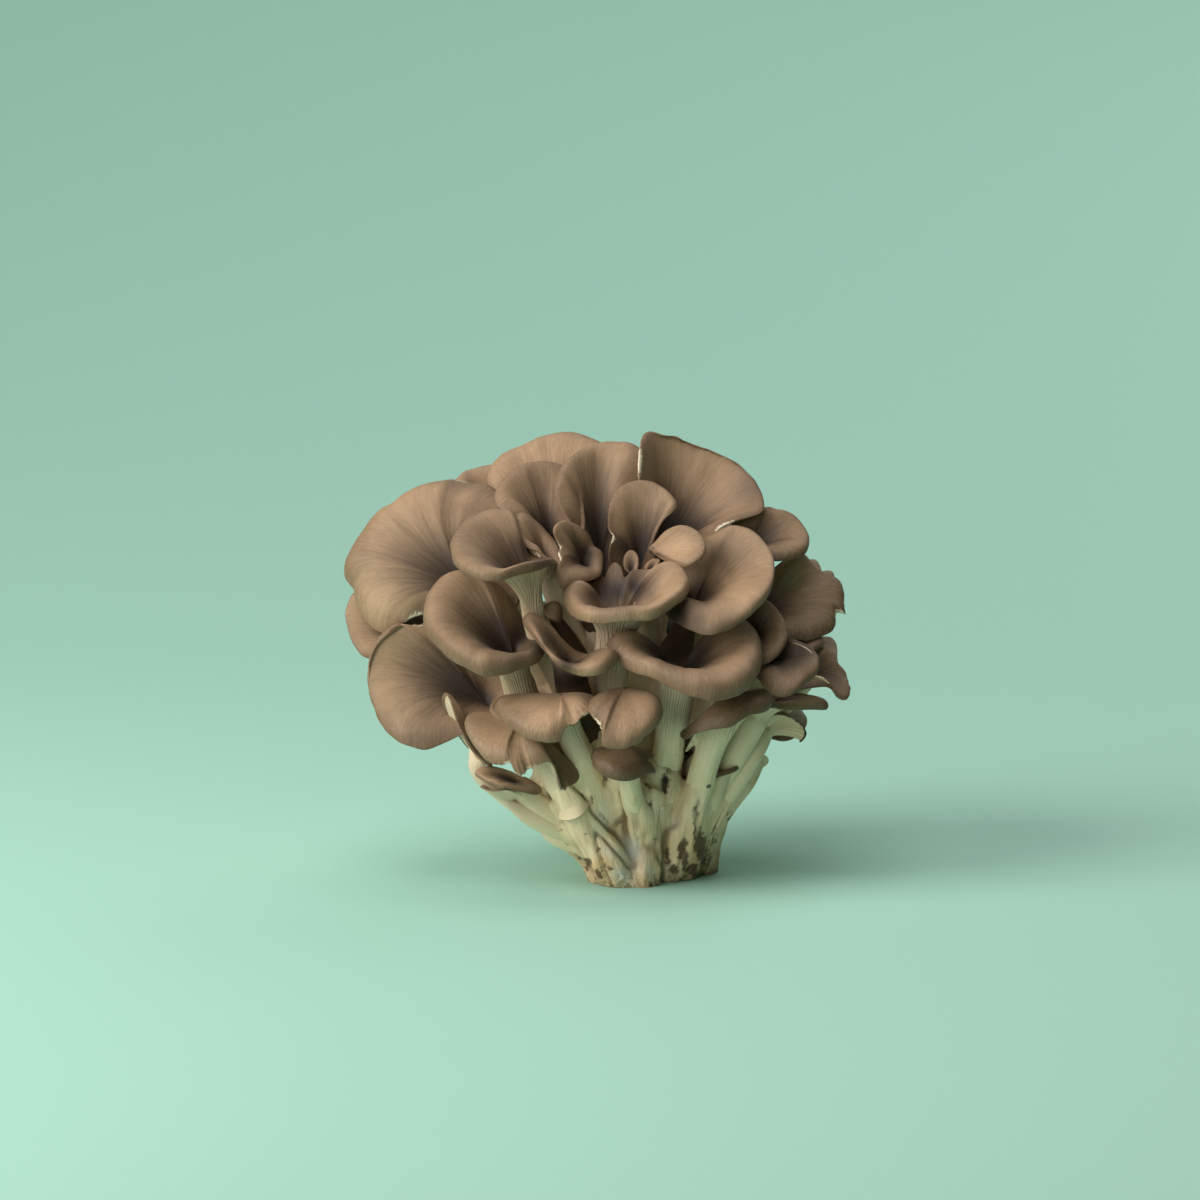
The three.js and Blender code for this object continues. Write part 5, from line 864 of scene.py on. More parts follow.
def lay_stem(form, neck, sink, pale, lay):
    """Adds the stem as rings, from its foot up to just below the throat."""
    foot = place(form.frond.get("foot") or form.frond["joins"])
    bend, end = place(form.frond["neck"]), form.throat
    length = np.linalg.norm(end - bend) + np.linalg.norm(bend - foot)
    _, mid_girth, low_girth = form.frond["girth"]
    # the points go evenly round at the foot, and come in line with the rim's own further up
    own = np.arctan2(form.y, form.x)
    even = math.atan2(form.y[0], form.x[0]) + form.spin * form.turn
    own = own + 2 * math.pi * np.round((even - own) / (2 * math.pi))
    rows = int(np.clip(length / form.grid["stem"], 5, 34))
    lay(foot[None], -1, -length, pale)
    for u in np.linspace(0, 1, rows + 1)[:-1]:
        tangent = unit((1 - u) * (bend - foot) + u * (end - bend))
        angle = mix(own, even, float(np.interp(u, [0, 0.5, 1], [1, 0.6, 0])))
        middle = mix(low_girth, mid_girth, ease(0, 0.5, u)) * mix(0.55, 1, ease(0, 0.4, u))
        radius = mix(middle, neck, float(ease(0.45, 1, u)))
        out = np.cos(angle)[:, None] * form.side + np.sin(angle)[:, None] * form.back
        out = out @ turn_between(form.axis, tangent).T
        spot = np.column_stack([np.cos(angle) * mid_girth, np.sin(angle) * mid_girth,
                                np.full(form.n, (1 - u) * length)])
        stretched = spot * [1, 1, 0.16]
        bumps = (0.35 * drift(spot * [1, 1, 0.4], 7, form.seed + 31)
                 + 0.28 * drift(stretched, 2.6, form.seed + 32)
                 + 0.12 * drift(stretched, 1.2, form.seed + 33))
        keep = float(ease(1.0, 0.85, u))
        gill = gill_shape(form, [(u - 1) * 1.2])[0]
        fade = float(ease(0.45, 1.0, u)) * 0.6
        radius = (radius + bumps * keep * min(1, mid_girth / 5)
                  - gill * fade * min(1, mid_girth / 4))
        ring = bow(foot, bend, end, u) + out * np.asarray(radius)[..., None]
        ring = ring - form.axis * (sink * float(ease(0.5, 1, u)))[:, None]
        lay(ring, u - 1, (u - 1) * length, pale, gill * fade / 0.6)


# ---- the base ---------------------------------------------------------------------------

# The fused middle of the base as oval sections: across, depth, height, the two half widths,
# and how far the oval is turned.
CORE = [
    (-5, 10, -8, 12, 23, -38), (-5, 9, 2, 12.5, 23, -36), (-5, 6, 12, 16.5, 22, -24),
    (-4, 4, 22, 22, 21, 0), (-4, 6, 32, 22, 19, 0), (-4, 8, 42, 20, 17, 0),
    (-4, 7, 54, 17, 16, 0), (-8, 3, 84, 12, 12, 0),
]
# The limbs that the stems branch from: both ends, and the radius at each.
LIMBS = [
    ((-11, -11, -8), (-17, -18, 22), 7.5, 6), ((-11, -2, -8), (-24, -14, 14), 8, 6),
    ((-7, -11, -8), (-3, -17, 33), 7.5, 6.5), ((1, 3, -8), (7, -12, 20), 7.5, 6.5),
    ((11, 17, -8), (19, 2, 24), 7, 7), ((-8, -8, 0), (-10, -17, 36), 7, 6.5),
    ((-14, 22, -8), (-17, 20, 34), 9.5, 10), ((-14, -8, 2), (-38, -24, 30), 8, 5.5),
    ((-14, -4, 4), (-45, -19, 25), 8, 5), ((-12, -2, 14), (-44, -21, 36), 9, 6.5),
    ((8, 4, 10), (28, -3, 31), 8, 4.5), ((4, 14, 30), (23, 21, 68), 15, 13),
    ((-12, 0, 38), (-38, -4, 68), 12, 6.5), ((8, 2, 38), (20, 0, 66), 13, 9),
    ((-4, 12, 36), (-5, 24, 76), 14, 11), ((-8, 6, 32), (-29, 16, 60), 12, 8),
    ((8, 6, 32), (19, 12, 56), 12, 8),
]
# Thin shrivelled strips that hang between the stems: layout points, and a radius.
STRIPS = [
    ([(2, -22, 24), (4, -23, 28), (3.2, -24, 32), (5, -24, 36), (3.5, -24, 39)], 1.1),
    ([(6, -23, 26), (5, -24, 30), (6.5, -24, 34), (5, -25, 37)], 0.9),
    ([(-26, -30, 36), (-25, -31, 31), (-23, -30, 26)], 0.9),
]
# Marks on the front of the base: layout place across and height, half width, half height
# and strength.
STAINS = [
    (9, 8.5, 2.0, 6, 1.0), (15.5, 11, 2.6, 7, 1.0), (18.5, 5, 2, 3, 0.9), (3.6, 7.5, 0.9, 4.5, 0.8),
    (-25.5, 5, 2, 1.8, 0.8), (-21.5, 1.5, 2.5, 2, 0.8), (-33.5, 11, 1.4, 1.2, 0.8),
    (-29.5, 8, 1.2, 1, 0.7), (-26, 15, 1.2, 0.8, 0.7), (-22, 10, 1.2, 1, 0.7),
    (2.2, 33.6, 1.6, 3, 0.9), (-24.2, 28, 1, 3, 0.6), (18.6, 33.6, 1, 1, 0.9),
    (27, 31, 1, 2, 0.7), (26, 21, 1.5, 4, 0.6), (-1, 12, 0.8, 5, 0.5), (-36, 17, 2, 1.4, 0.5),
    (-30, 6, 3, 1.5, 0.6), (-18, 3, 2, 1.5, 0.6), (13, 17, 0.8, 6, 0.7), (5, 3, 2.5, 2, 0.7),
    (20, 14, 1.2, 5, 0.6), (-38, 21, 1.5, 1, 0.6), (12, 3, 3, 1.5, 0.8),
]
# Pits between the stems, pushed in and painted almost black: painted shade. Across, height, half
# width, half height and strength, as for the stains.
PAINTED_SHADE_PITS = [
    (2.2, 34, 1.5, 2.6, 0.9), (4, 39.7, 1.1, 1.6, 1.0), (10, 47, 1.8, 3.5, 1.0),
    (-9.6, 31.5, 1.0, 2.4, 1.0), (7, 58, 2, 4, 1.0), (23, 46, 2.4, 5, 1.0),
    (-33.5, 45, 2.2, 4, 0.8), (-19, 38, 1.2, 4, 0.7), (14, 24, 0.9, 5, 0.6), (21, 38, 1.2, 3, 0.8),
]
# White mycelium bloom on the foot, and pale patches of painted light on the foot and a stem where
# they sit in shade: across, height, half width, half height and strength, as for the stains.
BLOOMS_AND_PAINTED_LIGHT = [(-12.8, 1.5, 4, 2.6, 1.0), (-4, 3, 3, 2, 0.5), (6, 19, 2, 3, 0.35), (-17, 9, 4, 3, 0.5),
          (-20, 22, 3, 7, 0.4), (14, 44, 3, 9, 0.4), (-9, 9, 4, 5, 0.8)]
OCHRES = [(-5, 15, 1.5, 5, 1.0), (-20, 6, 5, 4, 0.8), (-1, 5, 2, 3, 0.6),
          (13, 9, 4, 6, 0.7), (-30, 13, 4, 3, 0.5)]

CORE_RINGS = 40
CORE_SIDES = 48
STEM_SIDES = 20
STRIP_SIDES = 10
LIMB_STEPS = 8
ROOT_STEPS = 5              # rings on a stem below where its own foot ends
SHORT_OF_ROOTS = 45         # stems that start above this height don't reach down to the foot
MELT_SIZE = 0.8             # grain of the fused skin, in millimetres


def tube(name, path, radii, sides=28):
    """A closed tube through layout points, with its radius in millimetres at each."""
    centres = place(path)
    skin = Skin()
    for k, (centre, radius) in enumerate(zip(centres, radii)):
        before, after = centres[max(k - 1, 0)], centres[min(k + 1, len(centres) - 1)]
        matrix = turn_between((0, 0, 1), unit(after - before))
        angle = turns(sides)
        ring = np.column_stack([np.cos(angle), np.sin(angle), np.zeros(sides)]) * radius
        if k == 0:
            skin.ring(centre[None], {})
        skin.ring(centre + ring @ matrix.T, {})
    skin.ring(centres[-1][None], {})
    return skin.mesh(name, flip=True)


def core_tube():
    """The fused middle of the base, through its oval sections."""
    columns = np.array(CORE, float).T
    heights = columns[2]
    angle = turns(CORE_SIDES)
    skin = Skin()
    for k, height in enumerate(np.linspace(heights[0], heights[-1], CORE_RINGS)):
        x, y, _, rx, ry, turn = (np.interp(height, heights, column) for column in columns)
        c, s = math.cos(math.radians(turn)), math.sin(math.radians(turn))
        a, b = rx * np.cos(angle), ry * np.sin(angle)
        level = np.full(CORE_SIDES, height)
        if k == 0:
            skin.ring(place([[x, y, height]]), {})
        skin.ring(place(np.column_stack([x + a * c - b * s, y + a * s + b * c, level])), {})
    skin.ring(place([[x, y, heights[-1] + 1]]), {})
    return skin.mesh("core", flip=True)


def stem_path(frond, share, steps=10):
    """The lower share of a stem's middle line, as layout points."""
    foot = np.array(frond.get("foot") or frond["joins"], float)
    bend, end = np.array(frond["neck"], float), np.array(frond["throat"], float)
    return bow(foot, bend, end, np.linspace(0, share, steps)[:, None])


def rooted_path(frond, share):
    """A stem's lower share, carried on down into the foot of the base."""
    path = stem_path(frond, share)
    foot = path[0]
    if foot[2] > SHORT_OF_ROOTS:
        return path, np.linspace(0, 1, len(path))
    drop = min(foot[2] + 5, 20)
    across = mix(-3, foot[0], 0.62)
    down = np.array([across, max(mix(3, foot[1], 0.62), 1.2 * across + 5), foot[2] - drop])
    knee = foot + (foot - path[3]) * 0.5
    lower = bow(down, knee, foot, np.linspace(0, 1, ROOT_STEPS + 1)[:-1, None])
    return (np.vstack([lower, path]),
            np.concatenate([np.zeros(ROOT_STEPS), np.linspace(0, 1, len(path))]))


def neighbours(mesh):
    """Pairs of joined points in a mesh."""
    edges = np.empty(len(mesh.edges) * 2, np.int32)
    mesh.edges.foreach_get("vertices", edges)
    return edges.reshape(-1, 2)


def relax(points, edges, times, amount=0.5):
    """Moves each point towards the middle of its neighbours."""
    count = np.bincount(edges.ravel(), minlength=len(points)).astype(float)[:, None]
    for _ in range(times):
        total = np.zeros_like(points)
        for k in range(points.shape[1]):
            total[:, k] = (np.bincount(edges[:, 0], points[edges[:, 1], k], len(points))
                           + np.bincount(edges[:, 1], points[edges[:, 0], k], len(points)))
        points = mix(points, total / np.maximum(count, 1), amount)
    return points


def read_vectors(mesh, field):
    """Where a mesh's points are (co), or which way they face (normal)."""
    flat = np.empty(len(mesh.vertices) * 3, np.float32)
    mesh.vertices.foreach_get(field, flat)
    return flat.reshape(-1, 3).astype(float)


def move_points(mesh, points):
    mesh.vertices.foreach_set("co", (points * MM).astype(np.float32).ravel())
    mesh.update()


def melt(parts):
    """The parts as one mesh, flowing into each other where they touch."""
    bpy.ops.object.select_all(action="DESELECT")
    for part in parts:
        part.select_set(True)
    bpy.context.view_layer.objects.active = parts[0]
    bpy.ops.object.join()
    whole = parts[0]
    remesh = whole.modifiers.new("melt", "REMESH")
    remesh.mode = "VOXEL"
    remesh.voxel_size = MELT_SIZE * MM
    evaluated = whole.evaluated_get(bpy.context.evaluated_depsgraph_get())
    melted = bpy.data.meshes.new_from_object(evaluated)
    bpy.data.objects.remove(whole)
    return melted


def creases_at(points, fan, level):
    """Narrow splits that run up the stems, wandering a little. 0 to 1."""
    bent = fan + 0.5 * np.column_stack([drift(points, 6, 51), drift(points, 6, 52), 0 * level])
    wide = np.exp(-(drift(bent, 5.0, 11) / 0.13) ** 2) * ease(0.0, 0.5, drift(fan, 9, 12) + 0.35)
    fine = (0.7 * np.exp(-(drift(bent, 2.8, 13) / 0.12) ** 2)
            * ease(0.0, 0.5, drift(fan, 6, 14) + ease(20, 6, level) * 0.3))
    return np.maximum(wide, fine) * ease(62, 40, level)


def build_base():
    """Core, limbs and the feet of the stems, melted together and grooved lengthwise."""
    parts = [core_tube()]
    t = np.linspace(0, 1, LIMB_STEPS)[:, None]
    for k, (start, end, thick, thin) in enumerate(LIMBS):
        path = mix(np.array(start, float), np.array(end, float), t)
        parts.append(tube(f"limb_{k}", path, mix(thick, thin, t[:, 0])))
    for frond in FRONDS:
        path, along = rooted_path(frond, 0.5 if "joins" in frond else 0.62)
        _, middle, low = frond["girth"]
        radii = mix(low * 1.2, middle * 1.08, ease(0, 0.6, along)) * (1 - 0.35 * along ** 4)
        parts.append(tube(frond["name"] + "_foot", path, radii, STEM_SIDES))
    for k, (line, radius) in enumerate(STRIPS):
        parts.append(tube(f"strip_{k}", line, [radius] * len(line), STRIP_SIDES))
    melted = melt(parts)
    edges = neighbours(melted)
    points = relax(read_vectors(melted, "co") / MM, edges, 12)
    move_points(melted, points)
    normal = read_vectors(melted, "normal")

    # lengthwise ridges and creases follow the stems as they fan out from the foot
    fan = fan_coordinates(points)
    across, level = layout_of(points)
    height = points[:, 2]
    ridges = 0.75 * drift(fan, 5.5, 3) + 0.45 * drift(fan, 2.4, 4) + 0.16 * drift(fan, 1.1, 5)
    front = ease(8, 0, points[:, 1] * math.cos(LEAN) - height * math.sin(LEAN))
    crease = creases_at(points, fan, level) * mix(0.45, 1, front)
    front = front * ease(0.1, -0.4, normal[:, 1])       # marks keep off the sides
    painted_shade_pit = spots_at(points, across, level, PAINTED_SHADE_PITS) * front
    lumps = 0.9 * drift(points, 9, 6) + 0.5 * drift(points, 3.5, 7) * ease(26, 4, height)
    crumbs = np.abs(layers(points, 2.4, 8)) * ease(12, 2, height) * 1.1
    out = (ridges * mix(0.9, 1.35, ease(60, 10, height)) + lumps * 0.6 + crumbs
           - 1.4 * crease - 1.8 * painted_shade_pit)
    points = points + normal * out[:, None]
    points[:, 2] = np.maximum(points[:, 2], 0.0)
    move_points(melted, points)

    # hollow: how far each point lies below the skin evened out; the material paints shade there
    below = relax(points, edges, 5) - points
    hollow = np.clip(np.sum(below * read_vectors(melted, "normal"), axis=1) * 2.7, -1, 1)
    hollow = relax(hollow[:, None], edges, 2)[:, 0]
    notes = {"fan": fan, "hollow": hollow, "crease": crease, "painted_shade_pit": painted_shade_pit}
    for key, spots in (("stain", STAINS), ("bloom_and_painted_light", BLOOMS_AND_PAINTED_LIGHT), ("ochre", OCHRES)):
        notes[key] = spots_at(points, across, level, spots) * front
    write_notes(melted, notes)
    melted.polygons.foreach_set("use_smooth", np.ones(len(melted.polygons), bool))
    base = bpy.data.objects.new("fused_base", melted)
    bpy.context.scene.collection.objects.link(base)
    return base


def fan_coordinates(points):
    """Points as if the stems all stood straight up: noise along them is stretched."""
    centre = np.array([-4.0, 5.0]) + points[:, 2:3] * np.array([-0.02, 0.06])
    spread = (22 + 0.55 * np.maximum(points[:, 2], 0))[:, None] / 24
    across = (points[:, :2] - centre) / spread
    return np.column_stack([across, points[:, 2] * 0.11])


def spots_at(points, across, level, spots):
    """How strongly each point lies in one of the spots, their outlines broken up."""
    x = across + 0.9 * drift(points, 2.2, 41) + 0.5 * drift(points, 1.1, 42)
    y = level + 1.6 * drift(points, 3.5, 43) + 0.6 * drift(points, 1.3, 44)
    total = np.zeros(len(points))
    for at, level_at, wide, tall, strength in spots:
        far = ((x - at) / wide) ** 2 + ((y - level_at) / tall) ** 2
        total = np.maximum(total, strength * np.exp(-far))
    return total


# ---- materials --------------------------------------------------------------------------

def srgb(*rgb):
    """A colour given as it looks on screen, 0 to 255, in the shader's own linear values."""
    linear = [c / 255 / 12.92 if c / 255 <= 0.04045 else ((c / 255 + 0.055) / 1.055) ** 2.4
              for c in rgb]
    return (*linear, 1)


class Net:
    """A short way of writing a node tree."""

    def __init__(self, tree):
        self.tree = tree

    def fill(self, made, inputs):
        """Links or sets a node's inputs."""
        for key, value in dict(inputs).items():
            if isinstance(value, bpy.types.NodeSocket):
                self.tree.links.new(value, made.inputs[key])
            else:
                made.inputs[key].default_value = value
        return made

    def node(self, kind, inputs=(), **settings):
        made = self.tree.nodes.new("ShaderNode" + kind)
        for key, value in settings.items():
            setattr(made, key, value)
        return self.fill(made, inputs)

    def group(self, tree, inputs):
        made = self.tree.nodes.new("ShaderNodeGroup")
        made.node_tree = tree
        return self.fill(made, inputs).outputs

    def math(self, operation, a, b=0.0):
        return self.node("Math", {0: a, 1: b, 2: 0.0}, operation=operation).outputs[0]

    def times(self, a, b):
        return self.math("MULTIPLY", a, b)

    def plus(self, a, b):
        return self.math("ADD", a, b)

    def swing(self, value, amount):
        """A value from 0 to 1 as one from -amount / 2 to amount / 2."""
        return self.times(self.math("SUBTRACT", value, 0.5), amount)

    def blend(self, factor, a, b):
        """Colour a where factor is 0, colour b where it is 1."""
        return self.node("Mix", {0: factor, 6: a, 7: b}, data_type="RGBA").outputs[2]

    def wash(self, colour, where, strength, new):
        """Some of a new colour laid over the old one, where is 1 and at that strength."""
        return self.blend(self.times(where, strength), colour, new)

    def between(self, value, low, high, to_low=0.0, to_high=1.0):
        """value from low to high becomes to_low to to_high, smoothly and held at the ends."""
        made = self.node("MapRange", {0: value, 1: low, 2: high, 3: to_low, 4: to_high},
                         interpolation_type="SMOOTHSTEP")
        return made.outputs[0]

    def note(self, name, vector=False):
        made = self.node("Attribute", attribute_name=name)
        return made.outputs["Vector" if vector else "Fac"]

    def noise(self, vector, scale, detail, rough, warp=0.0):
        made = self.node("TexNoise", {"Vector": vector, "Scale": scale, "Detail": detail,
                                      "Roughness": rough, "Distortion": warp})
        return made.outputs["Fac"]

    def relief(self, shader, height, strength, distance):
        """Small bumps on the shader's surface, distance in metres."""
        bump = self.node("Bump", {"Strength": strength, "Distance": distance, "Height": height})
        self.tree.links.new(bump.outputs[0], shader.inputs["Normal"])


def new_group(name, inputs, outputs):
    """An empty node group with those sockets, its net, and its two ends."""
    tree = bpy.data.node_groups.new(name, "ShaderNodeTree")
    for key, kind in inputs.items():
        tree.interface.new_socket(key, in_out="INPUT", socket_type="NodeSocket" + kind)
    for key in outputs:
        tree.interface.new_socket(key, in_out="OUTPUT", socket_type="NodeSocketFloat")
    start = tree.nodes.new("NodeGroupInput")
    end = tree.nodes.new("NodeGroupOutput")
    return tree, Net(tree), start.outputs, end.inputs


def make_streaks():
    """Fine threads along the growth: narrow across, long the other way. 0 to 1."""
    tree, net, given, out = new_group(
        "growth_streaks", {"Place": "Vector", "Across": "Float", "Along": "Float", "Warp": "Float"},
        ["Streak", "Band"])
    stretch = net.node("CombineXYZ", {0: given["Across"], 1: given["Across"], 2: given["Along"]})
    spot = net.node("VectorMath", {0: given["Place"], 1: stretch.outputs[0]},
                    operation="MULTIPLY").outputs[0]
    fine = net.noise(spot, 1.0, 4.0, 0.62, given["Warp"])
    wide = net.noise(spot, 0.17, 3.0, 0.6, given["Warp"])
    tree.links.new(net.between(fine, 0.3, 0.7), out["Streak"])
    tree.links.new(net.between(wide, 0.34, 0.66), out["Band"])
    return tree


def make_mottle():
    """Soft cloudy patches and fine speckle by place on the object. 0 to 1."""
    tree, net, given, out = new_group(
        "cloudy_patches", {"Size": "Float", "Shift": "Float"}, ["Cloud", "Speckle"])
    place_at = net.node("TexCoord").outputs["Object"]
    moved = net.node("VectorMath", {0: place_at, 1: given["Shift"]}, operation="ADD").outputs[0]
    scale = net.math("DIVIDE", 1.0, given["Size"])
    cloud = net.noise(moved, scale, 3.0, 0.5, 0.4)
    fine = net.noise(moved, 1500.0, 2.0, 0.6)
    tree.links.new(net.between(cloud, 0.32, 0.68), out["Cloud"])
    tree.links.new(net.between(fine, 0.3, 0.7), out["Speckle"])
    return tree


def new_material(name):
    """A material with one shader, its net, and the shader."""
    material = bpy.data.materials.new(name)
    material.use_nodes = True
    material.node_tree.nodes.clear()
    net = Net(material.node_tree)
    shader = net.node("BsdfPrincipled")
    net.node("OutputMaterial", {"Surface": shader.outputs[0]})
    return material, net, shader


def make_frond_material(name, tan, brown, throat, cream, foot, shift):
    """Felted cap skin on top, cream gills and stem below, and a pale line round the edge."""
    material, net, shader = new_material(name)
    fibre = net.note("fibre", vector=True)
    out, under, groove = net.note("out"), net.note("under"), net.note("groove")
    streaks = net.group(STREAKS, {"Place": fibre, "Across": 2.6, "Along": 0.35, "Warp": 0.3})
    mottle = net.group(MOTTLE, {"Size": 0.03, "Shift": shift})
    streak, band = streaks["Streak"], streaks["Band"]
    cloud, speckle = mottle["Cloud"], mottle["Speckle"]

    # the cap: tan half way out, browner at the edge, and painted shade that darkens it down into
    # the throat
    reach = net.plus(out, net.swing(band, 0.18))
    pale = net.times(net.between(reach, 0.2, 0.65), net.between(out, 1.0, 0.78, 0.3, 1.0))
    pale = net.times(pale, net.between(cloud, 0.0, 1.0, 0.5, 1.0))
    cap = net.blend(pale, brown, tan)
    # painted shade: down towards the throat the cap goes to the throat's near-black
    deep = net.times(net.between(out, 0.76, 0.2), net.between(out, -0.05, 0.05, 0.35, 1.0))
    cap = net.blend(deep, cap, throat)
    # painted light: the listed patches go paler
    painted_light = net.times(net.note("painted_light"), net.between(streak, 0.0, 1.0, 0.5, 0.8))
    cap = net.blend(painted_light, cap, srgb(192, 156, 121))
    light = net.blend(0.5, cap, srgb(226, 198, 165))
    dark = net.blend(0.45, cap, srgb(62, 42, 30))
    open_out = net.between(out, 0.1, 0.6)
    hair = net.times(net.between(streak, 0.5, 1.0), 0.2)
    cap = net.blend(net.times(hair, open_out), cap, light)
    gap = net.times(net.between(streak, 0.5, 0.0), 0.26)
    gap = net.plus(gap, net.times(net.between(band, 0.4, 0.0), 0.15))
    cap = net.blend(net.times(gap, open_out), cap, dark)
    # painted shade: the listed patches go towards the throat's near-black, and so does the pale
    # cup's edge
    cap = net.blend(net.note("shade"), cap, throat)

    # the gills and the stem, with fine gills between the modelled ones: lines that all
    # point at the throat
    lines = net.group(STREAKS, {"Place": fibre, "Across": 1.1, "Along": 0.05, "Warp": 0.1})
    spoke = net.node("SeparateXYZ", {0: fibre}).outputs
    angle = net.math("ARCTAN2", spoke[1], spoke[0])
    comb = net.math("SINE", net.times(angle, net.times(net.note("comb"), 0.5)))
    comb = net.between(net.math("ABSOLUTE", comb), 0.62, 0.1)
    comb = net.times(comb, net.between(out, -0.55, 0.05))
    flesh = net.wash(cream, lines["Streak"], 0.2, srgb(186, 168, 132))
    # painted shade: the gaps between the drawn gills and the grooves between the modelled ones go
    # darker
    flesh = net.wash(flesh, comb, 0.45, srgb(128, 106, 80))
    flesh = net.wash(flesh, groove, 0.55, srgb(118, 98, 74))
    flesh = net.wash(flesh, net.between(cloud, 0.45, 1.0), 0.25, srgb(196, 172, 128))
    flesh = net.blend(net.between(out, -0.15, -0.65, 0.0, 0.8), flesh, foot)
    colour = net.blend(net.between(under, 0.5, 0.8), cap, flesh)
    edge = net.times(net.between(out, 0.985, 1.0), net.between(under, 0.1, 0.5))
    colour = net.wash(colour, edge, 0.35, srgb(214, 200, 172))
    torn = net.plus(net.note("tear"), net.swing(speckle, 0.5))
    colour = net.wash(colour, net.between(torn, 0.35, 0.8), 0.85, srgb(228, 214, 184))
    net.tree.links.new(colour, shader.inputs["Base Color"])

    rough = net.plus(0.44, net.times(speckle, 0.16))
    net.tree.links.new(rough, shader.inputs["Roughness"])
    top_side = net.between(under, 0.5, 0.2)
    felt = net.times(net.plus(net.times(streak, 0.6), net.times(speckle, 0.35)), top_side)
    gills = net.math("SUBTRACT", net.times(lines["Streak"], 0.9), net.times(comb, 2.0))
    gills = net.times(net.between(under, 0.5, 0.8), gills)
    net.relief(shader, net.plus(felt, gills), strength=0.38, distance=0.00025)
    shader.inputs["Sheen Weight"].default_value = 0.12
    shader.inputs["Sheen Roughness"].default_value = 0.5
    shader.inputs["Sheen Tint"].default_value = srgb(235, 215, 190)
    shader.inputs["Specular IOR Level"].default_value = 0.35
    return material


def make_base_material():
    """Cream flesh: painted shade and brown staining in its hollows, browner creases, dirty at the
    foot.
    """
    material, net, shader = new_material("base_flesh")
    fan = net.note("fan", vector=True)
    hollow, stain = net.note("hollow"), net.note("stain")
    streaks = net.group(STREAKS, {"Place": fan, "Across": 1.3, "Along": 1.0, "Warp": 0.3})
    mottle = net.group(MOTTLE, {"Size": 0.02, "Shift": 3.0})
    streak, band = streaks["Streak"], streaks["Band"]
    place_at = net.node("TexCoord").outputs["Object"]
    height = net.node("SeparateXYZ", {0: place_at}).outputs[2]
    speck = net.noise(place_at, 600.0, 4.0, 0.65)

    flesh = net.blend(mottle["Cloud"], srgb(250, 226, 190), srgb(236, 208, 164))
    flesh = net.wash(flesh, band, 0.4, srgb(252, 234, 206))
    flesh = net.wash(flesh, streak, 0.2, srgb(168, 138, 92))
    low = net.times(net.between(height, 0.03, 0.004), net.between(band, 0.3, 0.8))
    flesh = net.wash(flesh, low, 0.5, srgb(196, 152, 92))
    # painted shade, with some brown staining, down in the hollows between the stems
    deep = net.times(net.between(hollow, 0.08, 0.6), net.between(height, 0.006, 0.03, 0.4, 0.85))
    flesh = net.blend(deep, flesh, srgb(92, 69, 43))
    crease = net.times(net.note("crease"), net.between(height, 0.06, 0.01, 0.45, 0.9))
    flesh = net.wash(flesh, crease, 0.6, srgb(126, 92, 54))
    flesh = net.wash(flesh, net.note("ochre"), 0.5, srgb(206, 160, 96))
    # the white bloom of mycelium, and pale patches of painted light
    flesh = net.wash(flesh, net.note("bloom_and_painted_light"), 0.75, srgb(222, 218, 210))
    mark = net.between(net.plus(stain, net.swing(speck, 0.9)), 0.22, 0.62)
    flesh = net.wash(flesh, mark, 0.88, srgb(78, 49, 29))
    # painted shade: the pits between the stems go almost black
    flesh = net.wash(flesh, net.note("painted_shade_pit"), 0.92, srgb(38, 26, 17))
    dirt = net.between(net.plus(height, net.swing(speck, 0.02)), 0.004, 0.0002)
    flesh = net.wash(flesh, dirt, 0.5, srgb(120, 92, 62))
    net.tree.links.new(flesh, shader.inputs["Base Color"])
    rough = net.plus(0.48, net.times(mottle["Speckle"], 0.22))
    net.tree.links.new(rough, shader.inputs["Roughness"])
    bumps = net.plus(net.times(streak, 0.7),
                     net.times(speck, net.between(height, 0.03, 0.0, 0.2, 1.4)))
    net.relief(shader, bumps, strength=0.6, distance=0.0004)
    shader.inputs["Specular IOR Level"].default_value = 0.35
    return material


# ---- putting it together ----------------------------------------------------------------

STREAKS = make_streaks()
MOTTLE = make_mottle()
# throat is the near-black that the painted shade in the throats and folds goes to
CAP_SKIN = make_frond_material(
    "cap_skin", tan=srgb(160, 129, 99), brown=srgb(102, 77, 54), throat=srgb(38, 24, 15),
    cream=srgb(230, 208, 178), foot=srgb(242, 220, 182), shift=0.0)
# a darker copy of the cap skin: painted shade for the caps that sit low or away from the light
CAP_SKIN_PAINTED_SHADE = make_frond_material(
    "cap_skin_dark", tan=srgb(134, 106, 77), brown=srgb(84, 63, 43), throat=srgb(34, 22, 14),
    cream=srgb(226, 206, 172), foot=srgb(242, 222, 184), shift=1.7)
BASE_FLESH = make_base_material()

base = build_base()
base.data.materials.append(BASE_FLESH)
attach(base, "root")
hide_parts("base", "base_left_branches", "base_right_branches")

for number, frond in enumerate(FRONDS, 1):
    piece = build_frond(frond, number)
    # caps in painted shade take the darker copy of the skin
    dark = frond["name"] in PAINTED_SHADE_CAPS
    piece.data.materials.append(CAP_SKIN_PAINTED_SHADE if dark else CAP_SKIN)
    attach(piece, "root")
    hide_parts(frond["name"])


# ---- the stage: sizes and places here are in metres -------------------------------------

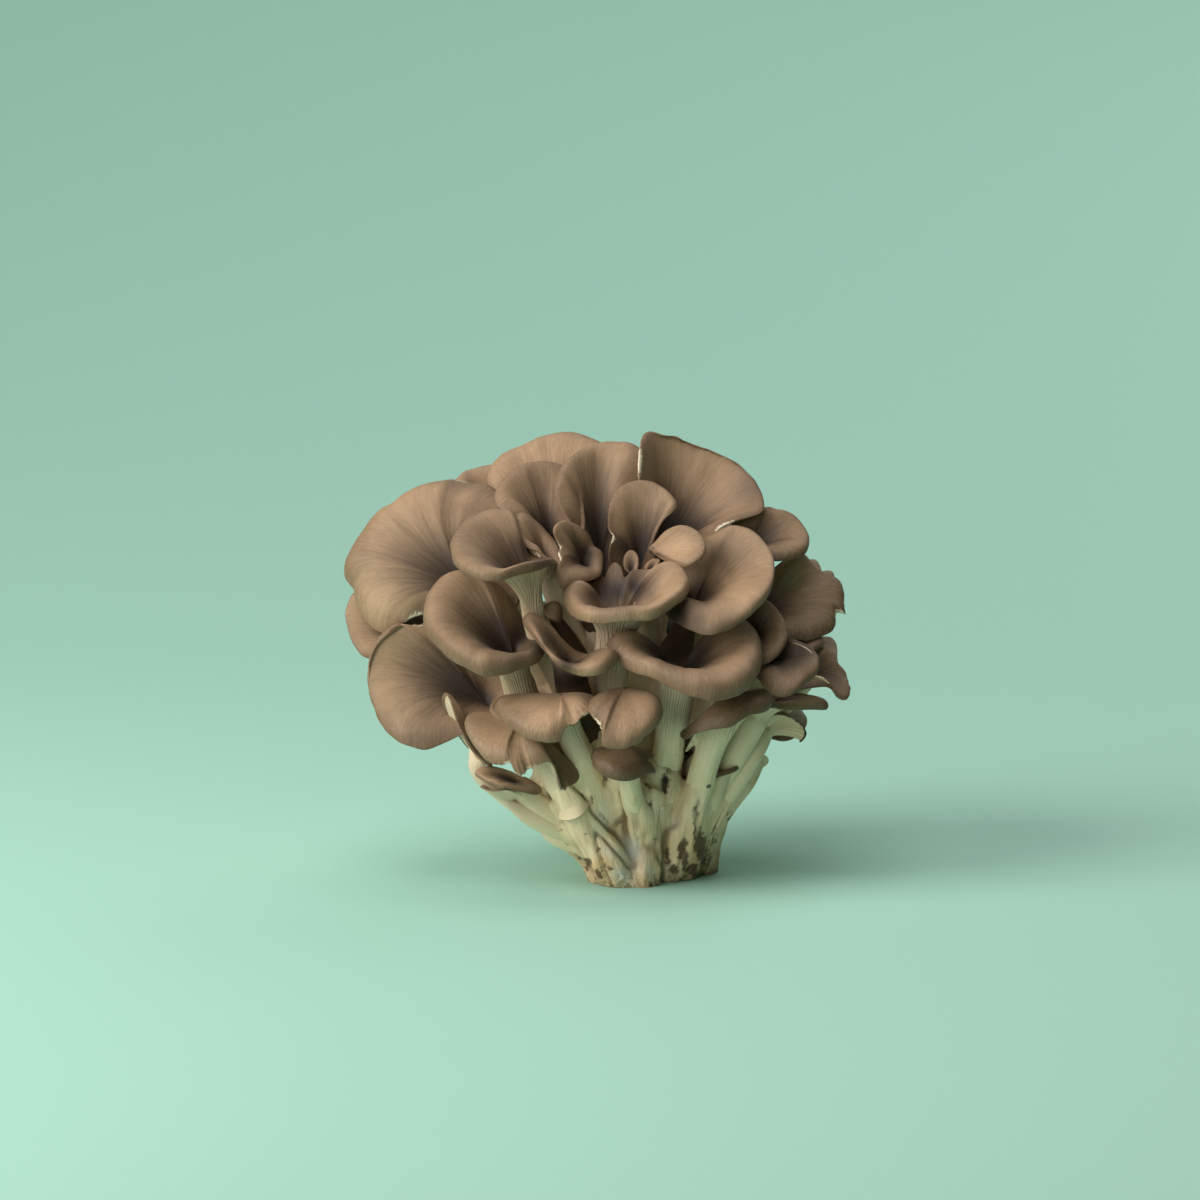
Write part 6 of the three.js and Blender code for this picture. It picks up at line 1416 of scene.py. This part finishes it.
FLOOR_HALF_WIDTH = 5.0
FLOOR_FRONT = -3.0
BEND_AT = 0.5               # where the floor starts to curve up
BEND_RADIUS = 2.2
BACKDROP_TOP = 4.0
VIEW_WIDTH = 432            # width in view at the cluster, in millimetres
SENSOR = 36
MIDDLE = (-0.02, 0.01, 0.08)        # the middle of the cluster
WARM = (1.0, 0.99, 0.97)
LIGHTS = [                  # name, place, what it is aimed at, size, power, colour
    ("key", (-0.99, -0.438, 0.784), MIDDLE, 0.8, 16.5, (1.0, 0.98, 0.95)),
    ("top", (-0.32, -0.97, 2.2), MIDDLE, 1.2, 13.5, WARM),
    ("fill", (-1.21, -2.05, 0.41), MIDDLE, 1.6, 18.5, WARM),
    ("behind", (0.7, 1.1, 0.9), MIDDLE, 1.0, 3.5, WARM),
    ("backdrop", (0.0, 0.6, 2.2), (0.0, 1.6, 0.3), 1.6, 18, (1.0, 1.0, 1.0)),
]


def make_stage():
    """A pale floor that curves up into a backdrop."""
    bend = [(BEND_AT + BEND_RADIUS * math.sin(a), BEND_RADIUS - BEND_RADIUS * math.cos(a))
            for a in np.linspace(0, math.pi / 2, 40)]
    line = [(FLOOR_FRONT, 0.0), *bend, (BEND_AT + BEND_RADIUS, BACKDROP_TOP)]
    points = np.array([[x, y, z] for y, z in line
                       for x in (-FLOOR_HALF_WIDTH, FLOOR_HALF_WIDTH)]) / MM
    quads = 2 * np.arange(len(line) - 1)[:, None] + [0, 1, 3, 2]
    floor = make_mesh("floor", points, quads, np.zeros((0, 3), int), {})
    material, _, shader = new_material("pale_floor")
    shader.inputs["Base Color"].default_value = srgb(162, 206, 188)
    shader.inputs["Roughness"].default_value = 0.6
    floor.data.materials.append(material)


def add_light(name, at, target, size, power, colour):
    """A square light that faces its target."""
    data = bpy.data.lights.new(name, "AREA")
    data.shape = "RECTANGLE"
    data.size = data.size_y = size
    data.energy = power
    data.color = colour
    light = bpy.data.objects.new(name, data)
    light.location = at
    aim = Vector(target) - Vector(at)
    light.rotation_euler = aim.to_track_quat("-Z", "Y").to_euler()
    bpy.context.scene.collection.objects.link(light)


def set_world(colour, strength):
    """A faint even light from all round."""
    world = bpy.data.worlds.new("studio")
    world.use_nodes = True
    background = world.node_tree.nodes["Background"]
    background.inputs[0].default_value = colour
    background.inputs[1].default_value = strength
    bpy.context.scene.world = world


def add_camera():
    """Looks along the layout's line of sight, square on to it."""
    data = bpy.data.cameras.new("camera")
    data.sensor_width = SENSOR
    data.lens = SENSOR * SIGHT_DISTANCE / VIEW_WIDTH
    camera = bpy.data.objects.new("camera", data)
    camera.location = place([SIGHT_X, -SIGHT_DISTANCE, SIGHT_Z]) * MM
    camera.rotation_euler = (math.pi / 2 - LEAN, 0, 0)
    bpy.context.scene.collection.objects.link(camera)
    bpy.context.scene.camera = camera


make_stage()
for light in LIGHTS:
    add_light(*light)
set_world(srgb(190, 225, 205), 0.04)
add_camera()
bpy.context.scene.view_settings.view_transform = "Standard"
